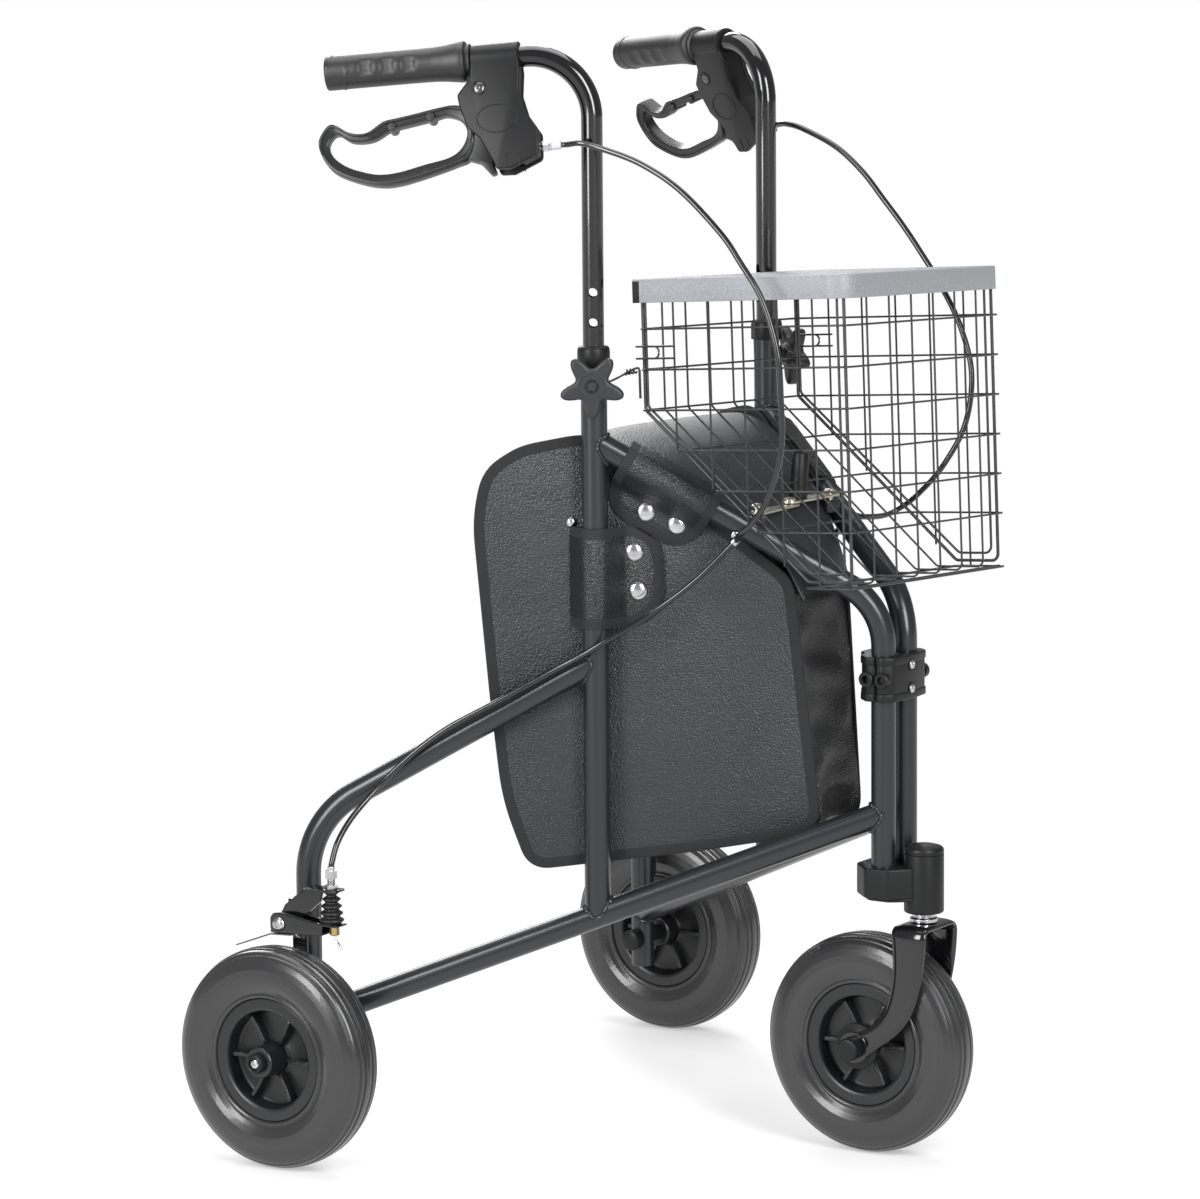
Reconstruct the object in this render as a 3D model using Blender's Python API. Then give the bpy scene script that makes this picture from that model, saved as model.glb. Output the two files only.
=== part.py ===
"""Three-wheeled folding rollator with a wire basket, a tray and a bag.

Units are metres and +Z is up.  The origin is on the floor, half way between the
front of the front tyre and the back of the rear tyres.  +Y points backwards, from
the front wheel to the user, so that the user's left hand is on the +X side.

Each side frame stands in a vertical plane that turns about its own front tube.
Side-frame coordinates are (out, back, up): out is square to the frame and away
from the middle, back is the distance behind the front tube's axis.
Every piece is drawn for the left side, and the right side is its mirror image.
"""
import math

import bmesh
import bpy
from mathutils import Matrix, Vector

MM = 0.001

# Clearances
GAP = 0.3 * MM
RUNNING_GAP = 0.3 * MM

# Frame layout
SPLAY = math.radians(30.06)
HINGE_SPACING = 35.6 * MM
UPRIGHT_BACK = 242.4 * MM
LEG_BACK = 489.0 * MM
FRAME_TUBE_DIAMETER = 21.2 * MM
UPRIGHT_DIAMETER = 22.2 * MM
TUBE_WALL = 1.5 * MM
RAIL_FRONT_HEIGHT = 298.5 * MM
RAIL_REAR_HEIGHT = 118.9 * MM
FRONT_CORNER_HEIGHT = 475.4 * MM
FRONT_SLOPE = math.radians(29.86)
FRONT_BEND_RADIUS = 60.0 * MM
REAR_CORNER_HEIGHT = 291.5 * MM
REAR_SLOPE = math.radians(29.07)
REAR_BEND_RADIUS = 80.0 * MM
LEG_BOTTOM_HEIGHT = 68.6 * MM
UPRIGHT_TOP_HEIGHT = 690.0 * MM

# Wheels
WHEEL_DIAMETER = 190.5 * MM
TYRE_WIDTH = 45.8 * MM
TYRE_SEAT_DIAMETER = 105.4 * MM
RIM_WIDTH = 34.0 * MM
RIM_OPENING_DIAMETER = 83.6 * MM
RIM_WEB = 3.0 * MM
RIB_COUNT = 6
RIB_THICKNESS = 3.6 * MM
RIB_SETBACK = 6.0 * MM
HUB_DIAMETER = 28.0 * MM
HUB_NOSE_DIAMETER = 22.0 * MM
HUB_INNER_LENGTH = 23.0 * MM
HUB_OUTER_LENGTH = 29.0 * MM
AXLE_DIAMETER = 8.0 * MM
AXLE_COLLAR_DIAMETER = 14.0 * MM
AXLE_END_DIAMETER = 19.0 * MM
AXLE_END_LENGTH = 13.0 * MM
AXLE_HEAD_DIAMETER = 17.0 * MM
AXLE_HEAD_LENGTH = 7.0 * MM
WHEEL_OFFSET = 46.8 * MM

# Front wheel, fork and hinge block
STEM_LEAD = 29.0 * MM
CASTER_TRAIL = 52.0 * MM
STEM_DIAMETER = 12.0 * MM
STEM_FLANGE_DIAMETER = 24.0 * MM
FORK_CROWN_HEIGHT = 205.0 * MM
FORK_THICKNESS = 4.0 * MM
FORK_HALF_WIDTH = 30.5 * MM
FORK_CORNER_RADIUS = 9.0 * MM
HOUSING_DIAMETER = 34.0 * MM
HOUSING_BOTTOM_HEIGHT = 213.2 * MM
HOUSING_TOP_HEIGHT = 264.0 * MM
HOUSING_CAP_DOME = 8.0 * MM
BLOCK_BOTTOM_HEIGHT = 227.0 * MM
BLOCK_TOP_HEIGHT = 253.0 * MM
BLOCK_FLOOR = 3.7 * MM
CLAMP_BOTTOM_HEIGHT = 395.3 * MM
CLAMP_TOP_HEIGHT = 433.6 * MM

# Height adjustment
HANDLE_TUBE_DIAMETER = 18.0 * MM
HANDLE_TUBE_BELOW_KNOB = 66.0 * MM
HOLE_PITCH = 25.4 * MM
HOLE_DIAMETER = 8.6 * MM
HOLES_BELOW_BOLT = 2
HOLES_ABOVE_BOLT = 3
KNOB_BELOW_TOP = 26.0 * MM
KNOB_BOLT_DIAMETER = 8.0 * MM
KNOB_RADIUS = 19.5 * MM
KNOB_LOBE = 7.5 * MM
KNOB_LOBES = 5
KNOB_START = 20.0 * MM
KNOB_THICKNESS = 11.0 * MM
COLLAR_DIAMETER = 27.6 * MM
COLLAR_SKIRT = 12.0 * MM
COLLAR_LIP = 5.5 * MM

# Handles, in coordinates (out, back, up) about the upright's axis
HANDLE_SPLAY = math.radians(24.0)
HANDLE_CORNER_HEIGHT = 941.3 * MM
HANDLE_BEND_RADIUS = 51.0 * MM
GRIP_DROP = math.radians(4.9)
GRIP_START = 105.0 * MM
GRIP_END = 225.0 * MM
GRIP_DIAMETER = 29.0 * MM
GRIP_FLARE_DIAMETER = 35.0 * MM
HOUSING_TILT = math.radians(19.0)
BRAKE_HOUSING_DEPTH = 26.0 * MM
LEVER_DEPTH = 15.0 * MM
LEVER_PIN_DIAMETER = 5.0 * MM
LEVER_PIVOT = (86.0 * MM, 52.0 * MM)
CABLE_DROP = 79.0 * MM
HOUSING_FRONT = 45.0 * MM

# Rear brake, in coordinates (x, y, z) about the rear leg's axis
BRAKE_X = 36.0 * MM
BRAKE_PIVOT_Y = -0.5 * MM
BRAKE_PIVOT_HEIGHT = 209.0 * MM
BRAKE_PIN_DIAMETER = 6.0 * MM
ARM_HALF_WIDTH = 7.8 * MM
PLATE = 2.0 * MM
BRACKET_THICKNESS = 3.0 * MM
FLANGE_HEIGHT = 241.0 * MM
PLATFORM_HEIGHT = 213.5 * MM
ADJUSTER_Y = -50.0 * MM
ADJUSTER_TOP_HEIGHT = 262.0 * MM
BELLOWS_RIBS = 4
BELLOWS_TOP_RADIUS = 5.0 * MM
BELLOWS_BOTTOM_RADIUS = 9.5 * MM
BELLOWS_RIB = 1.6 * MM

# Brace between the side frames
BRACE_BACK = 106.2 * MM
BRACE_OUT = -13.0 * MM
BRACE_ABOVE_TUBE = 15.0 * MM
BRACE_PLATE = 2.5 * MM
BRACE_HALF_WIDTH = 8.4 * MM
BRACE_PIN_DIAMETER = 6.0 * MM
BRACE_KNEE_BACK = 4.0 * MM
BRACE_HANDLE_DIAMETER = 15.0 * MM
BRACE_HANDLE_LENGTH = 38.4 * MM
BRACE_HANDLE_WALL = 1.6 * MM
BRACE_HANDLE_LEAN = 4.0 * MM
BRACE_HANDLE_FROM_KNEE = 14.0 * MM

# Basket and tray, in the basket's own coordinates
BASKET_WIDTH = 258.0 * MM
BASKET_DEPTH = 202.0 * MM
BASKET_HEIGHT = 254.0 * MM
BASKET_FLOOR_DEPTH = 48.2 * MM
BASKET_REAR_FLOOR_HEIGHT = 146.0 * MM
BASKET_PITCH = math.radians(-3.4)
BASKET_ROLL = math.radians(2.5)
BASKET_FRONT = -36.7 * MM
BASKET_ABOVE_CORNER = 24.45 * MM
BASKET_COLUMNS = 5
BASKET_SIDE_WIRES = (120.0 * MM, 163.0 * MM)
BASKET_WIRE = 2.4 * MM
BASKET_WIRE_WIDTH = 3.8 * MM
TRAY_SKIRT = 20.0 * MM
TRAY_WALL = 1.8 * MM
TRAY_TOP = 2.4 * MM
TRAY_CORNER_RADIUS = 45.0 * MM
TRAY_SIDE_GAP = 0.6 * MM

# Bag
BAG_PANEL_THICKNESS = 2.7 * MM
BAG_FRONT = 52.0 * MM
BAG_REAR = 322.0 * MM

# Cables
CABLE_DIAMETER = 5.0 * MM

# Mesh fineness
TUBE_SIDES = 12
ROUND_SIDES = 14
BOLT_SIDES = 12
HOUSING_SIDES = 20
RIM_SIDES = 24
TYRE_SIDES = 32
BEND_STEPS = 4
SMOOTH_ANGLE = math.radians(35.0)

LEFT = 1
RIGHT = -1
SIDES = {"left": LEFT, "right": RIGHT}

HINGE_X = HINGE_SPACING / 2
TUBE_RADIUS = FRAME_TUBE_DIAMETER / 2
UPRIGHT_RADIUS = UPRIGHT_DIAMETER / 2
WHEEL_RADIUS = WHEEL_DIAMETER / 2
KNOB_HEIGHT = UPRIGHT_TOP_HEIGHT - KNOB_BELOW_TOP
HANDLE_TUBE_LOW_HEIGHT = KNOB_HEIGHT - HANDLE_TUBE_BELOW_KNOB
AXLE_RADIUS = AXLE_DIAMETER / 2
HANDLE_TUBE_RADIUS = HANDLE_TUBE_DIAMETER / 2
# The wheels' fore and aft limits lie evenly about the origin
HINGE_Y = -(LEG_BACK * math.cos(SPLAY) - STEM_LEAD + CASTER_TRAIL) / 2
STEM_Y = HINGE_Y - STEM_LEAD
FRONT_AXLE_Y = STEM_Y + CASTER_TRAIL
RAIL_FALL = (RAIL_FRONT_HEIGHT - RAIL_REAR_HEIGHT) / LEG_BACK
BRACE_HEIGHT = FRONT_CORNER_HEIGHT + BRACE_BACK * math.tan(FRONT_SLOPE) + BRACE_ABOVE_TUBE
BASKET_BOTTOM_HEIGHT = FRONT_CORNER_HEIGHT + BASKET_ABOVE_CORNER


def rail_height(back):
    """Height of the lower rail's axis at a distance behind the front tube."""
    return RAIL_FRONT_HEIGHT - RAIL_FALL * back


# Scene and materials

def clear_scene():
    for item in list(bpy.data.objects):
        bpy.data.objects.remove(item, do_unlink=True)


def material(name, colour, roughness, metallic=0.0):
    made = bpy.data.materials.new(name)
    made.use_nodes = True
    shader = made.node_tree.nodes["Principled BSDF"]
    shader.inputs["Base Color"].default_value = (*colour, 1.0)
    shader.inputs["Roughness"].default_value = roughness
    shader.inputs["Metallic"].default_value = metallic
    return made


def black_paint():
    return material("black_paint", (0.028, 0.029, 0.031), 0.38, 0.2)


def black_plastic():
    return material("black_plastic", (0.03, 0.03, 0.032), 0.55)


def black_rubber():
    return material("black_rubber", (0.022, 0.022, 0.023), 0.62)


def bright_steel():
    return material("bright_steel", (0.62, 0.62, 0.6), 0.28, 1.0)


def grey_plastic():
    return material("grey_plastic", (0.36, 0.37, 0.39), 0.5)


def black_vinyl():
    return material("black_vinyl", (0.02, 0.02, 0.021), 0.42)


# Empties that carry the moving groups

def empty(name, location, turn=0.0, parent=None):
    made = bpy.data.objects.new(name, None)
    made.location = location
    made.rotation_euler = (0.0, 0.0, turn)
    made.parent = parent
    bpy.context.scene.collection.objects.link(made)
    return made


# Mesh building

def axis_matrix(origin, direction, up=(0.0, 0.0, 1.0)):
    """Matrix whose local Z runs along a direction, with local X as level as can be."""
    z = Vector(direction).normalized()
    x = Vector(up).cross(z)
    if x.length < 1e-6:
        x = Vector((1.0, 0.0, 0.0))
    x.normalize()
    y = z.cross(x)
    turn = Matrix((x, y, z)).transposed().to_4x4()
    return Matrix.Translation(Vector(origin)) @ turn


def ring_points(radius, sides, start=0.0):
    step = 2 * math.pi / sides
    return [(radius * math.cos(start + k * step), radius * math.sin(start + k * step))
            for k in range(sides)]


def bridge(mesh, ring_a, ring_b):
    """Quads between two closed rings of as many points."""
    count = len(ring_a)
    for k in range(count):
        after = (k + 1) % count
        mesh.faces.new((ring_a[k], ring_a[after], ring_b[after], ring_b[k]))


def loft(rings, closed=False):
    """Closed skin over rings of points, capped at both ends unless it closes on itself."""
    mesh = bmesh.new()
    made = [[mesh.verts.new(point) for point in ring] for ring in rings]
    for first, second in zip(made, made[1:]):
        bridge(mesh, first, second)
    if closed:
        bridge(mesh, made[-1], made[0])
    else:
        mesh.faces.new(tuple(reversed(made[0])))
        mesh.faces.new(tuple(made[-1]))
    bmesh.ops.recalc_face_normals(mesh, faces=mesh.faces)
    return mesh


def turned(profile, sides, matrix=Matrix.Identity(4), hollow=False):
    """Solid turned about local Z from (radius, height) points.

    A hollow profile is a closed outline away from the axis.
    """
    rings = []
    for radius, height in profile:
        rings.append([matrix @ Vector((x, y, height)) for x, y in ring_points(radius, sides)])
    return loft(rings, closed=hollow)


def prism(outline, low, high, place):
    """Solid between two copies of a plane outline; place maps (u, v, depth) to a point."""
    rings = [[Vector(place(u, v, depth)) for u, v in outline] for depth in (low, high)]
    return loft(rings)


def box(low, high):
    outline = [(low[0], low[1]), (high[0], low[1]), (high[0], high[1]), (low[0], high[1])]
    return prism(outline, low[2], high[2], lambda x, y, z: (x, y, z))


def join(*meshes):
    """One mesh of several closed shapes, such as a cutter of many holes."""
    whole = bmesh.new()
    for part in meshes:
        copy = bpy.data.meshes.new("join")
        part.to_mesh(copy)
        whole.from_mesh(copy)
        part.free()
        bpy.data.meshes.remove(copy)
    return whole


def along_x(u, v, depth):
    return (depth, u, v)


def along_y(u, v, depth):
    return (u, depth, v)


def along_z(u, v, depth):
    return (u, v, depth)


# Paths and outlines

def rounded_corner(before, corner, after, radius, steps):
    """Points of an arc of a radius that joins two straight runs at a corner."""
    arrive = (corner - before).normalized()
    leave = (after - corner).normalized()
    angle = arrive.angle(leave)
    reach = radius * math.tan(angle / 2)
    start = corner - arrive * reach
    inward = (leave - arrive * arrive.dot(leave)).normalized()
    centre = start + inward * radius
    points = []
    for k in range(steps + 1):
        turn = angle * k / steps
        points.append(centre - inward * radius * math.cos(turn) + arrive * radius * math.sin(turn))
    return points


def bent_path(start, corner, end, radius, steps):
    start, corner, end = Vector(start), Vector(corner), Vector(end)
    return [start, *rounded_corner(start, corner, end, radius, steps), end]


def sweep_rings(path, radius, sides, across):
    """Rings square to a path that lies in the plane with normal across."""
    across = Vector(across).normalized()
    rings = []
    for k, point in enumerate(path):
        before = path[max(k - 1, 0)]
        after = path[min(k + 1, len(path) - 1)]
        tangent = (after - before).normalized()
        if 0 < k < len(path) - 1:
            first = (point - before).normalized()
            second = (after - point).normalized()
            tangent = (first + second).normalized()
        level = across.cross(tangent)
        rings.append([point + across * x + level * y for x, y in ring_points(radius, sides)])
    return rings


def tube(path, diameter, wall, across=(1.0, 0.0, 0.0), sides=TUBE_SIDES):
    """Open-ended tube: its outer skin runs back along the bore."""
    outer = sweep_rings(path, diameter / 2, sides, across)
    inner = sweep_rings(path, diameter / 2 - wall, sides, across)
    return loft(outer + inner[::-1], closed=True)


def catmull_rom(points, steps, closed=False):
    """Smooth curve through points of two or three coordinates."""
    vectors = [Vector(point) for point in points]
    count = len(vectors)
    curve = []
    spans = count if closed else count - 1
    for k in range(spans):
        if closed:
            a, b, c, d = (vectors[(k + step) % count] for step in (-1, 0, 1, 2))
        else:
            b, c = vectors[k], vectors[k + 1]
            a = vectors[k - 1] if k else b * 2 - c
            d = vectors[k + 2] if k + 2 < count else c * 2 - b
        for step in range(steps):
            t = step / steps
            curve.append(0.5 * (b * 2 + (c - a) * t + (a * 2 - b * 5 + c * 4 - d) * t ** 2
                                + (b * 3 - a - c * 3 + d) * t ** 3))
    if not closed:
        curve.append(vectors[-1])
    return curve


def rounded_outline(corners, radii, steps=4):
    """Closed outline with each corner rounded to its radius."""
    points = [Vector((u, v, 0.0)) for u, v in corners]
    count = len(points)
    outline = []
    for k in range(count):
        if radii[k] <= 0:
            outline.append(points[k])
            continue
        outline += rounded_corner(points[k - 1], points[k], points[(k + 1) % count], radii[k], steps)
    return [(point.x, point.y) for point in outline]


# Objects

def add_object(name, mesh, look, side=LEFT, parent=None, origin=(0.0, 0.0, 0.0)):
    """Object from a mesh drawn for the left side in its parent's coordinates."""
    origin = Vector(origin)
    bmesh.ops.translate(mesh, verts=mesh.verts, vec=-origin)
    if side == RIGHT:
        bmesh.ops.scale(mesh, verts=mesh.verts, vec=(-1.0, 1.0, 1.0))
        bmesh.ops.reverse_faces(mesh, faces=mesh.faces)
        origin.x = -origin.x
    data = bpy.data.meshes.new(name)
    mesh.to_mesh(data)
    mesh.free()
    data.materials.append(look)
    data.shade_smooth()
    data.set_sharp_from_angle(angle=SMOOTH_ANGLE)
    made = bpy.data.objects.new(name, data)
    made.parent = parent
    made.location = origin
    bpy.context.scene.collection.objects.link(made)
    return made


def combine(target, mesh, operation, side=LEFT):
    """Cuts, joins or crosses an object with a shape drawn in its parent's coordinates."""
    name = f"{target.name}_{operation.lower()}_{len(target.modifiers)}"
    tool = add_object(name, mesh, target.data.materials[0], side, target.parent)
    tool.hide_render = True
    tool.display_type = "WIRE"
    change = target.modifiers.new(name, "BOOLEAN")
    change.operation = operation
    change.solver = "EXACT"
    change.object = tool


def cylinder(origin, direction, radius, low, high, sides=ROUND_SIDES):
    return turned([(radius, low), (radius, high)], sides, axis_matrix(origin, direction))


# Wheels, drawn about an axle along +X through the wheel's centre

def tyre_mesh():
    """Round section on a narrower seat; vertices lie at the very bottom."""
    seat = TYRE_SEAT_DIAMETER / 2 + GAP
    half = TYRE_WIDTH / 2
    bead = RIM_WIDTH / 2 - 2 * MM
    middle = WHEEL_RADIUS - half
    profile = [(seat, -bead)]
    arc_steps = 8
    for k in range(arc_steps + 1):
        angle = math.radians(-100 + 200 * k / arc_steps)
        profile.append((middle + half * math.cos(angle), half * math.sin(angle)))
    profile.append((seat, bead))
    return turned(profile, TYRE_SIDES, axis_matrix((0, 0, 0), (1, 0, 0)), hollow=True)


def rim_mesh(inner_length, outer_length):
    """Turned rim: a broad ring, a deep web and a hub with its bore."""
    bore = AXLE_RADIUS + RUNNING_GAP
    ring = RIM_OPENING_DIAMETER / 2
    seat = TYRE_SEAT_DIAMETER / 2
    hub = HUB_DIAMETER / 2
    nose = HUB_NOSE_DIAMETER / 2
    half = RIM_WIDTH / 2
    web = RIM_WEB / 2
    chamfer = 2 * MM
    profile = [
        (bore, outer_length), (nose, outer_length), (nose + chamfer, outer_length - chamfer),
        (hub, web), (ring, web), (ring + chamfer, half), (seat, half),
        (seat, -half), (ring + chamfer, -half), (ring, -web), (hub, -web),
        (nose, -inner_length), (bore, -inner_length)]
    return turned(profile, RIM_SIDES, axis_matrix((0, 0, 0), (1, 0, 0)), hollow=True)


def rim_ribs():
    """Thin radial ribs that join the hub and the ring on both faces of the web."""
    inner = HUB_NOSE_DIAMETER / 2 - 1 * MM
    outer = RIM_OPENING_DIAMETER / 2 + 1 * MM
    depth = RIM_WIDTH / 2 - RIB_SETBACK
    ribs = []
    for k in range(RIB_COUNT):
        rib = box((-depth, inner, -RIB_THICKNESS / 2), (depth, outer, RIB_THICKNESS / 2))
        bmesh.ops.rotate(rib, verts=rib.verts, matrix=Matrix.Rotation(2 * math.pi * k / RIB_COUNT, 3, "X"))
        ribs.append(rib)
    return join(*ribs)


def add_wheel(prefix, side, parent, centre, inner_length, outer_length):
    tyre = tyre_mesh()
    rim = rim_mesh(inner_length, outer_length)
    ribs = rim_ribs()
    for mesh in (tyre, rim, ribs):
        bmesh.ops.translate(mesh, verts=mesh.verts, vec=Vector(centre))
    add_object(f"{prefix}_tyre", tyre, black_rubber(), side, parent, centre)
    made = add_object(f"{prefix}_rim", rim, black_plastic(), side, parent, centre)
    combine(made, ribs, "UNION", side)


# Front wheel, fork and the block that carries the stem

def fork_outline():
    """Side view of the fork in (y, z) about the stem: a strap that sweeps back to the axle."""
    crown = FORK_CROWN_HEIGHT
    reach = CASTER_TRAIL
    axle = WHEEL_RADIUS
    top_half = 17 * MM
    end = 12 * MM
    front = [(-top_half, crown), (-top_half, crown - 26 * MM), (-8 * MM, crown - 47 * MM),
             (8 * MM, crown - 68 * MM), (26 * MM, axle + 16 * MM), (reach - end, axle)]
    tip = [(reach + end * math.cos(a), axle + end * math.sin(a))
           for a in (math.radians(180 + 30 * k) for k in range(1, 7))]
    back = [(reach + 8 * MM, axle + 15 * MM), (40 * MM, crown - 62 * MM),
            (25 * MM, crown - 38 * MM), (top_half, crown - 18 * MM), (top_half, crown)]
    return [(y + STEM_Y, z) for y, z in front + tip + back]


def add_fork(parent):
    side_view = prism(fork_outline(), -FORK_HALF_WIDTH, FORK_HALF_WIDTH, along_x)
    fork = add_object("caster_fork", side_view, black_paint(), LEFT, parent, (0, STEM_Y, 0))
    # Front view: a strap bent down on both sides of the wheel
    low = FORK_CROWN_HEIGHT - 140 * MM
    wide = FORK_HALF_WIDTH + 1 * MM
    outer = rounded_outline(
        [(-wide + 1 * MM, low), (wide - 1 * MM, low), (wide - 1 * MM, FORK_CROWN_HEIGHT),
         (-wide + 1 * MM, FORK_CROWN_HEIGHT)], [0, 0, FORK_CORNER_RADIUS, FORK_CORNER_RADIUS])
    combine(fork, prism(outer, STEM_Y - 40 * MM, STEM_Y + 90 * MM, along_y), "INTERSECT")
    inside = FORK_HALF_WIDTH - FORK_THICKNESS
    inner_radius = FORK_CORNER_RADIUS - FORK_THICKNESS
    inner_top = FORK_CROWN_HEIGHT - FORK_THICKNESS
    inner = rounded_outline([(-inside, low - 5 * MM), (inside, low - 5 * MM), (inside, inner_top),
                             (-inside, inner_top)], [0, 0, inner_radius, inner_radius])
    combine(fork, prism(inner, STEM_Y - 45 * MM, STEM_Y + 95 * MM, along_y), "DIFFERENCE")
    stem_hole = cylinder((0, STEM_Y, 0), (0, 0, 1), STEM_DIAMETER / 2 + GAP,
                         inner_top - 5 * MM, FORK_CROWN_HEIGHT + 5 * MM)
    axle_hole = cylinder((0, FRONT_AXLE_Y, WHEEL_RADIUS), (1, 0, 0), AXLE_RADIUS + GAP,
                         -FORK_HALF_WIDTH - 5 * MM, FORK_HALF_WIDTH + 5 * MM)
    combine(fork, join(stem_hole, axle_hole), "DIFFERENCE")


def add_stem(parent):
    """Rivet head, spigot through the crown, bearing flange, shaft and top nut."""
    shaft = STEM_DIAMETER / 2
    flange = STEM_FLANGE_DIAMETER / 2
    rivet = 8.5 * MM
    nut = 9.0 * MM
    crown_under = FORK_CROWN_HEIGHT - FORK_THICKNESS
    flange_top = HOUSING_BOTTOM_HEIGHT - GAP
    nut_top = HOUSING_TOP_HEIGHT - 2 * MM
    nut_bottom = nut_top - 4 * MM
    profile = [
        (rivet - 2 * MM, crown_under - 3.5 * MM), (rivet, crown_under - 2 * MM),
        (rivet, crown_under - GAP), (shaft, crown_under - GAP), (shaft, FORK_CROWN_HEIGHT + GAP),
        (flange, FORK_CROWN_HEIGHT + GAP), (flange, flange_top - 1.5 * MM),
        (flange - 2 * MM, flange_top), (shaft, flange_top), (shaft, nut_bottom),
        (nut, nut_bottom), (nut, nut_top)]
    stem = turned(profile, ROUND_SIDES, axis_matrix((0, STEM_Y, 0), (0, 0, 1)))
    add_object("caster_stem", stem, bright_steel(), LEFT, parent, (0, STEM_Y, 0))


def add_front_axle(parent):
    """Bolt with round caps outside the fork and spacers beside the hub."""
    outer = FORK_HALF_WIDTH + GAP
    inner = FORK_HALF_WIDTH - FORK_THICKNESS - GAP
    hub = HUB_INNER_LENGTH + GAP
    collar = AXLE_COLLAR_DIAMETER / 2
    cap = AXLE_HEAD_DIAMETER / 2 + 1.5 * MM
    cap_length = 12 * MM
    half = [(cap - 3 * MM, outer + cap_length), (cap, outer + cap_length - 3 * MM), (cap, outer),
            (AXLE_RADIUS, outer), (AXLE_RADIUS, inner), (collar, inner), (collar, hub),
            (AXLE_RADIUS, hub)]
    profile = [(radius, -x) for radius, x in half] + [(radius, x) for radius, x in reversed(half)]
    centre = (0, FRONT_AXLE_Y, WHEEL_RADIUS)
    axle = turned(profile, BOLT_SIDES, axis_matrix(centre, (1, 0, 0)))
    add_object("front_axle", axle, black_plastic(), LEFT, parent, centre)


def front_tube_cutters(bottom, top):
    """Holes in which both front tubes turn."""
    return join(*[cylinder((x, HINGE_Y, 0), (0, 0, 1), TUBE_RADIUS + RUNNING_GAP, bottom, top)
                  for x in (-HINGE_X, HINGE_X)])


def add_hinge_block():
    wide = HINGE_X + TUBE_RADIUS + 5.6 * MM
    housing = HOUSING_DIAMETER / 2
    rear = 28 * MM
    outline = rounded_outline(
        [(-housing, -STEM_LEAD), (housing, -STEM_LEAD), (wide, -12 * MM), (wide, 10 * MM),
         (16 * MM, rear), (-16 * MM, rear), (-wide, 10 * MM), (-wide, -12 * MM)],
        [0, 0, 6 * MM, 8 * MM, 8 * MM, 8 * MM, 8 * MM, 6 * MM])
    outline = [(x, y + HINGE_Y) for x, y in outline]
    slab = prism(outline, BLOCK_BOTTOM_HEIGHT, BLOCK_TOP_HEIGHT, along_z)
    block = add_object("hinge_block", slab, black_plastic())
    barrel = cylinder((0, STEM_Y, 0), (0, 0, 1), housing, HOUSING_BOTTOM_HEIGHT, HOUSING_TOP_HEIGHT,
                      HOUSING_SIDES)
    combine(block, barrel, "UNION")
    tubes = front_tube_cutters(BLOCK_BOTTOM_HEIGHT + BLOCK_FLOOR, BLOCK_TOP_HEIGHT + 10 * MM)
    nut_seat = HOUSING_TOP_HEIGHT - 6.3 * MM
    shaft = STEM_DIAMETER / 2 + RUNNING_GAP
    nut = 9.6 * MM
    bore = turned([(shaft, HOUSING_BOTTOM_HEIGHT - 5 * MM), (shaft, nut_seat), (nut, nut_seat),
                   (nut, HOUSING_TOP_HEIGHT + 5 * MM)], ROUND_SIDES,
                  axis_matrix((0, STEM_Y, 0), (0, 0, 1)))
    combine(block, join(tubes, bore), "DIFFERENCE")
    bottom = HOUSING_TOP_HEIGHT + GAP
    dome = [(housing, bottom), (housing, bottom + 2 * MM), (housing - 1.5 * MM, bottom + 4.5 * MM),
            (housing - 6 * MM, bottom + 6.8 * MM), (5 * MM, bottom + HOUSING_CAP_DOME)]
    cap = turned(dome, HOUSING_SIDES, axis_matrix((0, STEM_Y, 0), (0, 0, 1)))
    add_object("housing_cap", cap, black_plastic())


def add_clamp():
    """Two halves that meet between the front tubes and are screwed together."""
    wide = HINGE_X + TUBE_RADIUS + 5.4 * MM
    reach = 30 * MM
    ear = 12 * MM
    shoulder = HINGE_X + 8 * MM
    for name, sign in (("clamp_front", -1), ("clamp_rear", 1)):
        split = 0.3 * MM
        corners = [(-wide, split), (wide, split), (wide, 9 * MM), (shoulder, 18 * MM),
                   (ear, reach), (-ear, reach), (-shoulder, 18 * MM), (-wide, 9 * MM)]
        if sign < 0:
            corners = corners[::-1]
        outline = rounded_outline([(x, sign * y + HINGE_Y) for x, y in corners],
                                  [0, 0, 5 * MM, 5 * MM, 4 * MM, 4 * MM, 5 * MM, 5 * MM][::sign])
        half = prism(outline, CLAMP_BOTTOM_HEIGHT, CLAMP_TOP_HEIGHT, along_z)
        made = add_object(name, half, black_plastic())
        tubes = front_tube_cutters(CLAMP_BOTTOM_HEIGHT - 5 * MM, CLAMP_TOP_HEIGHT + 5 * MM)
        combine(made, tubes, "DIFFERENCE")


# Side frames

def front_slope_height(back):
    return FRONT_CORNER_HEIGHT + back * math.tan(FRONT_SLOPE)


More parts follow.
